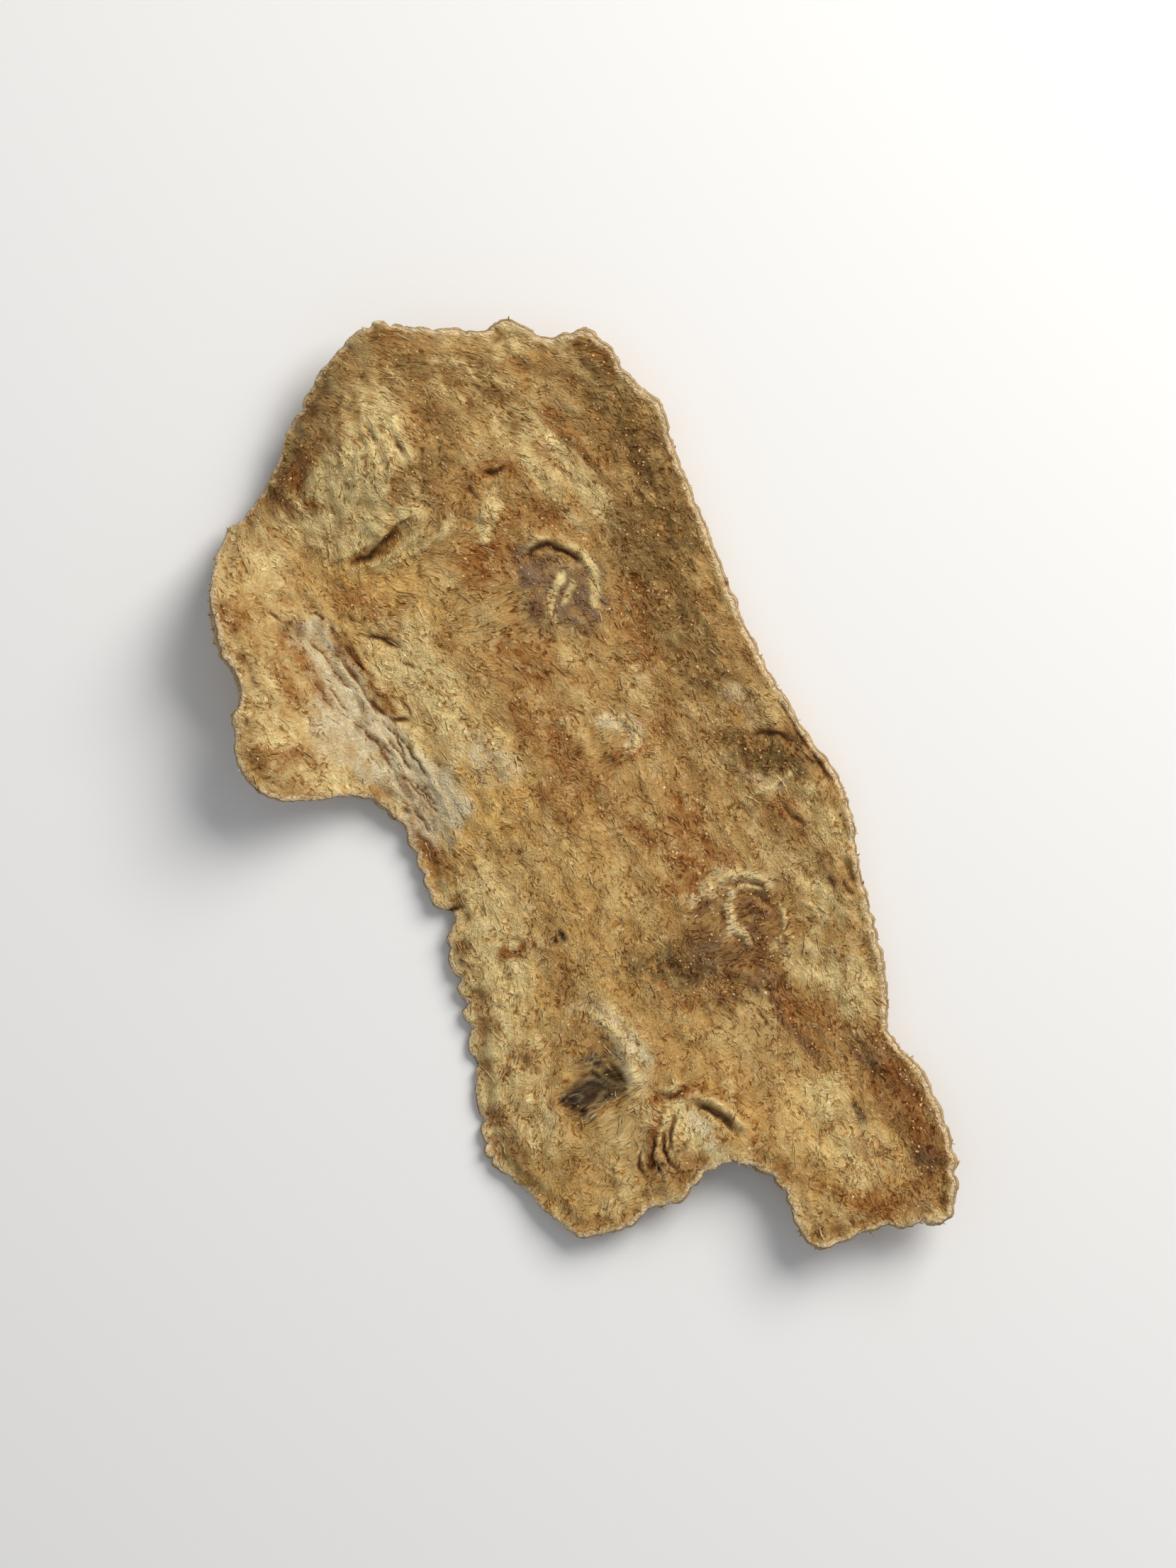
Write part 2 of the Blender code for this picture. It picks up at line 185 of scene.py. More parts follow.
SMALL_KNOTS = filled(
    Knot,
    ("pale ring", -2.5, 23.4, 0.5, 0.5, 0.12, 0.16, 0.1),
    ("first dot", -4.6, -9.3, 0.22, 0.26, 0.03, 0.4, 0),
    ("second dot", -3.9, -9.1, 0.24, 0.2, 0.03, 0.4, 0),
    ("chip", -11.4, -17.3, 0.8, 0.7, 0.1, 0.2, 0),
    ("curl beside the fork", 3.1, -29, 0.7, 0.9, 0.2, 0.25, 0.1),
    ("grain by the whorl", 6.6, -13.2, 0.5, 0.4, 0.12, 0.1, 0),
)

# Splits and raised fibres on the upper face: a line, its half width and how far it goes in or out.
Line = namedtuple("Line", "name points width lift")
LINES = filled(
    Line,
    ("tear under the shoulder", ((-7, 26.2), (-4.6, 26.7), (-2.2, 27.5)), 0.5, -0.25),
    ("lip over the tear", ((-7.4, 27.6), (-4.6, 28.1), (-1, 28.9)), 0.9, 0.35),
    ("check in the bark edge", ((17.8, -0.4), (20.4, -2.4)), 0.5, -0.35),
    ("seam of the lobes", ((-3.9, -17), (-3.1, -20), (-3.2, -24), (-4, -29)), 0.9, 0.22),
    ("lip of the fork", ((0, -25.4), (1.7, -26.8), (2.8, -29.8)), 0.7, 0.35),
    ("inset in the fork", ((-0.4, -27.6), (-0.2, -30.6)), 1, -0.3),
)

# Thin dark splits in the upper face. The lines named as shadows, and the eye's lid line, are painted
# shadows drawn the same way.
SPLITS = filled(
    Line,
    ("tear, left half", ((-7.6, 26.5), (-6.2, 26.2), (-5, 26.4), (-4.2, 26.8)), 0.3, -0.55),
    ("tear, right half", ((-5, 26.6), (-4, 26.8), (-2.6, 27.5)), 0.3, -0.55),
    ("tear, tail", ((-2.8, 27.6), (-1.2, 28)), 0.18, -0.25),
    ("red crack", ((5.2, 28.8), (6.3, 28.2), (7.7, 28.4)), 0.28, -0.6),
    ("slip shadow", ((5, 26.9), (5.9, 27.4)), 0.2, -0.3),
    ("hump line 1", ((0.6, 38.8), (2.6, 35.1)), 0.14, -0.26),
    ("hump line 2", ((-1.4, 35.4), (-1.4, 33.8)), 0.14, -0.26),
    ("hump nick", ((0, 33.7), (0.2, 32.2)), 0.2, -0.36),
    # Painted shadow inside the eye's upper wall.
    ("eye lid shadow", ((5.9, 20.2), (6.8, 21.1), (8, 21), (9.2, 20), (10.2, 18.3)), 0.26, -0.6),
    ("eye corner", ((6.3, 20.2), (6.9, 20)), 0.22, -0.35),
    ("eye shadow", ((5.2, 18.6), (5.6, 17.2)), 0.2, -0.2),
    ("band crack 1", ((-13.4, 21.5), (-12.9, 19.5), (-12, 16.4)), 0.14, -0.3),
    ("band crack 2", ((-11.8, 19.4), (-11.2, 16.8), (-10.7, 13.6)), 0.13, -0.28),
    ("band crack 3", ((-12.9, 14.2), (-11.9, 11.8), (-11.5, 9)), 0.14, -0.3),
    ("band crack 4", ((-10.8, 13.4), (-9.9, 11.4), (-10, 9.4)), 0.13, -0.3),
    ("band crack 5", ((-11, 8.4), (-9.9, 6.2), (-9.2, 4.2)), 0.14, -0.3),
    ("band crack 6", ((-11.9, 6.9), (-10.9, 5), (-10.5, 3)), 0.14, -0.28),
    ("band crack 7", ((-14.6, 18.6), (-14, 15.4)), 0.14, -0.28),
    ("band crack 8", ((-12.4, 13.4), (-11.1, 10.2)), 0.12, -0.3),
    ("band crack 9", ((-13.7, 17.8), (-12.9, 14.8)), 0.13, -0.28),
    ("band crack 10", ((-10.9, 11.8), (-9.9, 8.4)), 0.13, -0.3),
    ("band crack 11", ((-11, 20.2), (-10.4, 18.6), (-9.9, 17.2)), 0.14, -0.34),
    ("band crack 12", ((-9.8, 12), (-9.1, 9.6), (-8.8, 7.4)), 0.13, -0.28),
    ("band crack 13", ((-10.2, 7.6), (-9, 4.8)), 0.13, -0.3),
    ("gash by the fold 1", ((-8.7, 20.3), (-7.7, 19.5), (-6.4, 18)), 0.24, -0.42),
    ("gash by the fold 2", ((-11, 15.4), (-10.5, 14.4), (-9.9, 13.2)), 0.24, -0.4),
    ("gash by the fold 4", ((-9.9, 13.2), (-9.2, 12.9), (-8.1, 12)), 0.22, -0.4),
    ("gash by the fold 5", ((-7.1, 17.2), (-5.8, 15.9)), 0.18, -0.32),
    ("gash by the fold 3", ((-9.6, 22.6), (-8.9, 21.2)), 0.2, -0.3),
    ("check, upper", ((17, -0.4), (18.4, -0.6), (19.4, -1.2), (20.2, -2.4)), 0.2, -0.35),
    ("check, lower", ((15.8, -4), (17.4, -4.1), (18.8, -3.8)), 0.14, -0.2),
    ("bark line", ((20.5, 1.4), (21.1, -2.6), (21.8, -6.6)), 0.16, -0.3),
    ("streak", ((17.1, -6.4), (17.8, -7.9), (18.5, -9.2)), 0.2, -0.25),
    ("pit slit", ((-8.5, -21.7), (-7.5, -22.2), (-5.8, -22.2)), 0.42, -0.6),
    ("pit core", ((-8.8, -22.3), (-7.6, -22.6), (-6.4, -22.6)), 0.5, -0.5),
    ("pit wrinkle", ((-7.6, -20.6), (-6.4, -20.7), (-5.4, -21.3)), 0.2, -0.3),
    ("pit end", ((-4.9, -20.2), (-4.3, -21.3), (-4.2, -22.8)), 0.2, -0.35),
    ("pit foot", ((-8, -23.2), (-6.6, -23.5)), 0.18, -0.3),
    ("curl shadow", ((-2, -24.8), (-0.9, -25.1), (0.6, -25)), 0.2, -0.35),
    ("inset, left", ((-1.2, -26.3), (-2.3, -27.6), (-3, -29.2), (-2.9, -30.4)), 0.18, -0.3),
    ("inset, outer left", ((-3.6, -27.2), (-4.5, -28.9), (-4.4, -30.6)), 0.18, -0.4),
    ("inset, far left", ((-4.9, -27.6), (-5.9, -29.2), (-5.7, -30.6)), 0.16, -0.32),
    ("inset, middle", ((-2.6, -27.2), (-3.4, -28.9), (-2.9, -30.8)), 0.16, -0.4),
    ("inset, right", ((0.2, -26.4), (1.2, -27.3), (1.9, -28.5), (2.3, -30)), 0.28, -0.6),
    ("nick in the left lobe", ((-5.2, -28.8), (-5.1, -29.9)), 0.18, -0.3),
    ("nick in the fork", ((0.8, -30.8), (1.5, -31.6)), 0.2, -0.3),
    ("comma", ((-6.9, -9.3), (-6.4, -8.9), (-6.3, -8.4)), 0.17, -0.3),
    ("waist split", ((-12.6, -3.9), (-11.4, -3.4), (-10.6, -3.7)), 0.24, -0.5),
    ("whorl line 1", ((9.7, -11), (11.4, -11.1), (13.2, -12.3)), 0.15, -0.25),
    ("whorl line 2", ((11.4, -12.2), (12.4, -13), (12.9, -14.4)), 0.15, -0.22),
    ("whorl foot", ((8.9, -14.6), (9.4, -15.6), (9.2, -16.6)), 0.16, -0.25),
    ("black fuzz 1", ((2.4, -14.6), (3.4, -15.2), (4.2, -15.3)), 0.2, -0.32),
    ("black fuzz 2", ((3.4, -16.2), (4.6, -16.8)), 0.2, -0.3),
    ("black fuzz 3", ((9.2, -19.9), (10.2, -20.5), (10.9, -20.3)), 0.2, -0.3),
    ("line by the waist", ((19.6, -11.6), (20.1, -13.2), (20, -15.2)), 0.16, -0.22),
)

# Thin pale fibres that stand up from the upper face.
THREADS = filled(
    Line,
    ("below the tear 1", ((-6.6, 25.5), (-3.6, 25.8), (-0.6, 26.7)), 0.3, 0.3),
    ("below the tear 2", ((-4.8, 25), (-1.4, 25.1), (1.6, 26.1)), 0.24, 0.22),
    ("lip of the tear", ((-8.4, 27.2), (-5.4, 27.4), (-3.2, 28.1), (-0.6, 28.5)), 0.3, 0.28),
    ("slip 1", ((3.4, 23.5), (4.2, 25), (5.4, 26.8)), 0.4, 0.24),
    ("slip 2", ((4.3, 23.8), (5.1, 25.1), (6.1, 26.5)), 0.26, 0.18),
    ("eye core 1", ((5.3, 15.2), (6.4, 16.4), (7.4, 17.4), (8.8, 18.4)), 0.3, 0.2),
    ("eye core 2", ((6.8, 15.7), (7.8, 16.2), (8.9, 17.2)), 0.22, 0.16),
    ("eye core 3", ((5.2, 15), (6.6, 15.3)), 0.26, 0.2),
    ("eye rim", ((9.4, 20.8), (10.4, 19.2), (10.7, 17.2), (10.2, 15.2)), 0.3, 0.24),
    ("eye brow", ((6, 21.4), (7.4, 21.9), (8.8, 21.3)), 0.3, 0.2),
    ("swirl 1", ((6.7, 5.7), (8, 5.2), (8.6, 3.9), (7.9, 2.7), (6.8, 2.6)), 0.34, 0.26),
    ("swirl 2", ((6.2, 4.8), (7.2, 4.5), (7.6, 3.6)), 0.28, 0.2),
    ("whorl arc 1", ((7.7, -10.7), (9.5, -10.3), (11.4, -10.4), (13.1, -11.6), (13.7, -12.9)), 0.34, 0.26),
    ("whorl arc 2", ((9.8, -11.4), (11.5, -11.6), (13, -12.6)), 0.24, 0.18),
    ("whorl hook", ((10.5, -11.6), (9.7, -12.6), (9.4, -13.8), (8.8, -14.2)), 0.4, 0.3),
    ("whorl hook, foot", ((8.8, -14.3), (9.6, -15), (10.2, -15.6), (9.6, -16.2)), 0.38, 0.34),
    ("whorl curl 1", ((13.4, -13.8), (13.8, -14.9), (13.1, -16.2), (13.6, -17.2)), 0.26, 0.22),
    ("whorl curl 2", ((15.2, -14.4), (16.3, -15.4), (16.2, -17), (15, -17.4)), 0.26, 0.2),
    ("whorl curl 3", ((14.6, -15.6), (15.2, -16.4)), 0.24, 0.18),
    ("ledge", ((-9.3, 13.4), (-8.5, 11.4), (-8.7, 9.4), (-8.1, 7.2)), 0.4, 0.2),
    ("band thread 1", ((-12.4, 19.8), (-11.7, 17.2), (-11.3, 14)), 0.28, 0.28),
    ("band thread 2", ((-11.8, 12.6), (-10.8, 10.4), (-10.6, 8)), 0.3, 0.3),
    ("band thread 3", ((-12.4, 8.6), (-11.5, 6.4), (-11.2, 4.6)), 0.28, 0.3),
    ("pit rib 1", ((-6, -20.5), (-5.3, -21.7), (-4.6, -22.7)), 0.18, 0.28),
    ("pit rib 2", ((-5.2, -20.3), (-4.4, -21.4)), 0.16, 0.24),
    ("pit rib 3", ((-7.8, -23.7), (-6.2, -23.3), (-4.7, -23.4)), 0.2, 0.3),
    ("pit rib 4", ((-7.4, -20.9), (-6.3, -21.2), (-5.4, -22)), 0.16, 0.2),
    ("pit rib 5", ((-8.6, -22.9), (-7.2, -23), (-6.4, -22.4), (-5.6, -22.6)), 0.18, 0.3),
    ("pit rib 6", ((-6.9, -19.9), (-5.6, -19.8), (-4.6, -20.4)), 0.16, 0.22),
    ("seam crest", ((-3.4, -19.6), (-3, -21), (-3.2, -22.6), (-3.6, -24.2)), 0.5, 0.16),
    ("seam streak 1", ((-4.6, -15.4), (-3.4, -17.6), (-2.6, -19.6)), 0.34, 0.14),
    ("seam streak 2", ((-3.2, -15.6), (-2, -18), (-1.4, -20)), 0.3, 0.12),
    ("curl", ((-2.2, -23.8), (-0.9, -24.4), (0.8, -24.2)), 0.3, 0.3),
    ("inset lip, outer left", ((-1.9, -25.4), (-2.6, -27), (-3.9, -28.6), (-3.7, -30.2)), 0.3, 0.42),
    ("inset lip, inner left", ((-1.3, -26.8), (-2.2, -28.4), (-2.4, -30.2)), 0.26, 0.3),
    ("inset frill 1", ((-4.6, -27.2), (-5.4, -28.3), (-5.4, -29.8)), 0.28, 0.36),
    ("inset frill 2", ((-4.4, -28.2), (-4, -29.4), (-4.7, -30.6)), 0.24, 0.34),
    ("inset frill 3", ((-3, -27.9), (-2.9, -29.2), (-3.3, -30.8)), 0.24, 0.34),
    ("fork curl", ((2.4, -25.8), (3.8, -25.9), (3.3, -27.1), (2.3, -26.8)), 0.26, 0.3),
    ("fork frill", ((1.8, -27.4), (2.4, -28.8), (1.8, -29.6)), 0.24, 0.32),
    ("inset lip, right", ((0.5, -25.9), (1.7, -26.9), (2.5, -28.4), (2.9, -30.2)), 0.32, 0.36),
    ("check lip", ((15, -5), (17.4, -4.9), (19.9, -4.4)), 0.26, 0.22),
    ("hump fibre 1", ((-7.2, 29.4), (-4.4, 31.4), (-2.6, 34.2)), 0.3, 0.22),
    ("hump fibre 2", ((-6.4, 31.6), (-4.6, 33), (-3.6, 35)), 0.24, 0.2),
    ("hump fibre 3", ((-3.6, 29.8), (-1.4, 31.6), (-0.2, 34.6)), 0.26, 0.2),
    ("hump curl 1", ((0, 39), (1.2, 37.7)), 0.24, 0.22),
    ("hump curl 2", ((1.6, 39.5), (2.3, 37.7)), 0.24, 0.22),
    ("hump curl 3", ((-1.5, 38.6), (-2.6, 37)), 0.2, 0.26),
    ("hump curl 4", ((6.2, 38.2), (7.8, 37), (7.9, 35.2)), 0.26, 0.24),
    ("hump curl 5", ((9.1, 35.8), (10.1, 34.4)), 0.24, 0.2),
    ("hump curl 6", ((-1.9, 35.7), (-2, 33.5)), 0.26, 0.22),
    ("hump curl 7", ((-0.8, 36.3), (-0.8, 34.1)), 0.24, 0.2),
    ("hump curl 8", ((0.4, 35.8), (0.5, 33.5)), 0.24, 0.2),
    ("hump curl 9", ((-5.9, 33.6), (-4.2, 34.2), (-3, 33.9)), 0.26, 0.24),
    ("hump curl 10", ((-5.6, 32.3), (-3.6, 32.5)), 0.24, 0.22),
    ("hump curl 11", ((-0.3, 30.5), (0, 28.7)), 0.24, 0.22),
    ("shoulder curl 1", ((-9.7, 35.5), (-10.8, 34)), 0.22, 0.22),
    ("shoulder curl 2", ((-9, 33.2), (-9.1, 30.8)), 0.26, 0.2),
)
LINE_END = 0.25
LINE_TAPER = 4.0
LINE_DETAIL_REACH = 0.7
SPLIT_WANDER = 0.22
SPLIT_WANDER_PITCH = 0.9
SPLIT_WANDER_SEEDS = (51.0, 52.0)
THREAD_SHARPNESS = 1.5
THREAD_PALENESS = 0.85
THREAD_SHADING = 0.6
DARK_SPLIT = 0.4

# Small marks that the drying left all over: cracks and pores, on each face.
CRACK_COUNT = 50
CRACK_LENGTHS = (0.5, 1.6)
CRACK_WIDTHS = (0.11, 0.2)
CRACK_STRENGTHS = (0.35, 1.0)
CRACK_DEPTH = 0.2
PORE_COUNT = 130
PORE_RADII = (0.12, 0.26)
PORE_STRENGTHS = (0.3, 1.0)
PORE_DEPTH = 0.24
PORE_DARKNESS = 0.8
MARK_SEED = 11

# The fibres of the wood.
FIBRE_HEIGHT = 0.22
FIBRE_PITCH = 2.2
FIBRE_RUN = 9.0
FINE_FIBRES = ((0.14, 1.1, 2.8), (0.1, 0.6, 1.2))
FINE_SEED = 3.0
LUMPS = ((0.2, 2.1), (0.16, 0.9))
LUMP_SEED = 10
FAN_TOP = -8.0
FAN_SPREAD = 0.36
FAN_RAMP = Ramp(12.0, -32.0)
CROWN_FAN = 0.5
CROWN_FAN_MIDDLE = 1.5
CROWN_FAN_RAMP = Ramp(26.0, 17.0)
MOST_PARTING = 0.45
PARTING_SOFTNESS = 0.1
FIBRE_WAVES = ((0.5, 2.6), (0.16, 0.9))
FIBRE_WAVE_SEEDS = (31.0, 33.0)
CROWN_LEAN = 0.3
CROWN_LEAN_RUN = 10.0
Lean = namedtuple("Lean", "x y across along amount")
LEANS = filled(
    Lean,
    (-5, 32, 6, 5.5, -0.7),
    (-4, 26.6, 7, 3, -1),
    (1, 36.5, 5, 4, 0.3),
)
UNDERSIDE_SEED = 40.0

# The rim: a pale frayed lip with a groove inside it, knobs, and a rounded torn side.
LIP_HEIGHT = 0.2
LIP_INSET = 0.35
LIP_WIDTH = 0.3
LIP_EVENNESS = 0.7
LIP_RATES = (0.05, 0.013)
LIP_SEED = 61.0
# The pale rim is partly the cut flesh's own pale colour and partly painted highlight along the raised lip.
PALE_RIM_WIDTH = 0.38
GROOVE_DEPTH = 0.12
GROOVE_INSET = 1.0
GROOVE_WIDTH = 0.38
# Painted shade laid in the groove inside the rim, in patches.
GROOVE_SHADE = 0.6
# Painted highlight on the knobs of the frilled edge, and painted shade in the clefts between them.
KNOB_LIGHT_AND_SHADE = 3.0
KNOB_LIGHT_AND_SHADE_REACH = 1.3
MOST_KNOB_LIGHT_AND_SHADE = 0.7
KNOB_RELIEF = 0.4
KNOB_REACH = 1.4
RIM_BULGE = 0.12
CLEFT_BULGE = 0.05
BULGE_SPAN = 4
BULGE_CURVE = 0.3
RIM_ROUGHNESS = 0.16
RIM_GRIT = (0.55, 0.4)
RIM_GRIT_SEED = 81.0

# Dried colours, as linear reflectances.
FLESH = (0.44, 0.263, 0.088)
CREAM = (0.71, 0.55, 0.25)
CHALK = (0.6, 0.5, 0.31)
MILK = (0.66, 0.55, 0.33)
AMBER = (0.64, 0.395, 0.124)
OLIVE = (0.205, 0.125, 0.041)
PURPLE = (0.18, 0.088, 0.034)
UMBER = (0.12, 0.072, 0.036)
RUST = (0.3, 0.12, 0.026)
ASH = (0.22, 0.137, 0.073)
# The next colour is near-black painted shade, laid in the pit's slit and in two small holes.
HOLE_SHADE = (0.05, 0.032, 0.02)

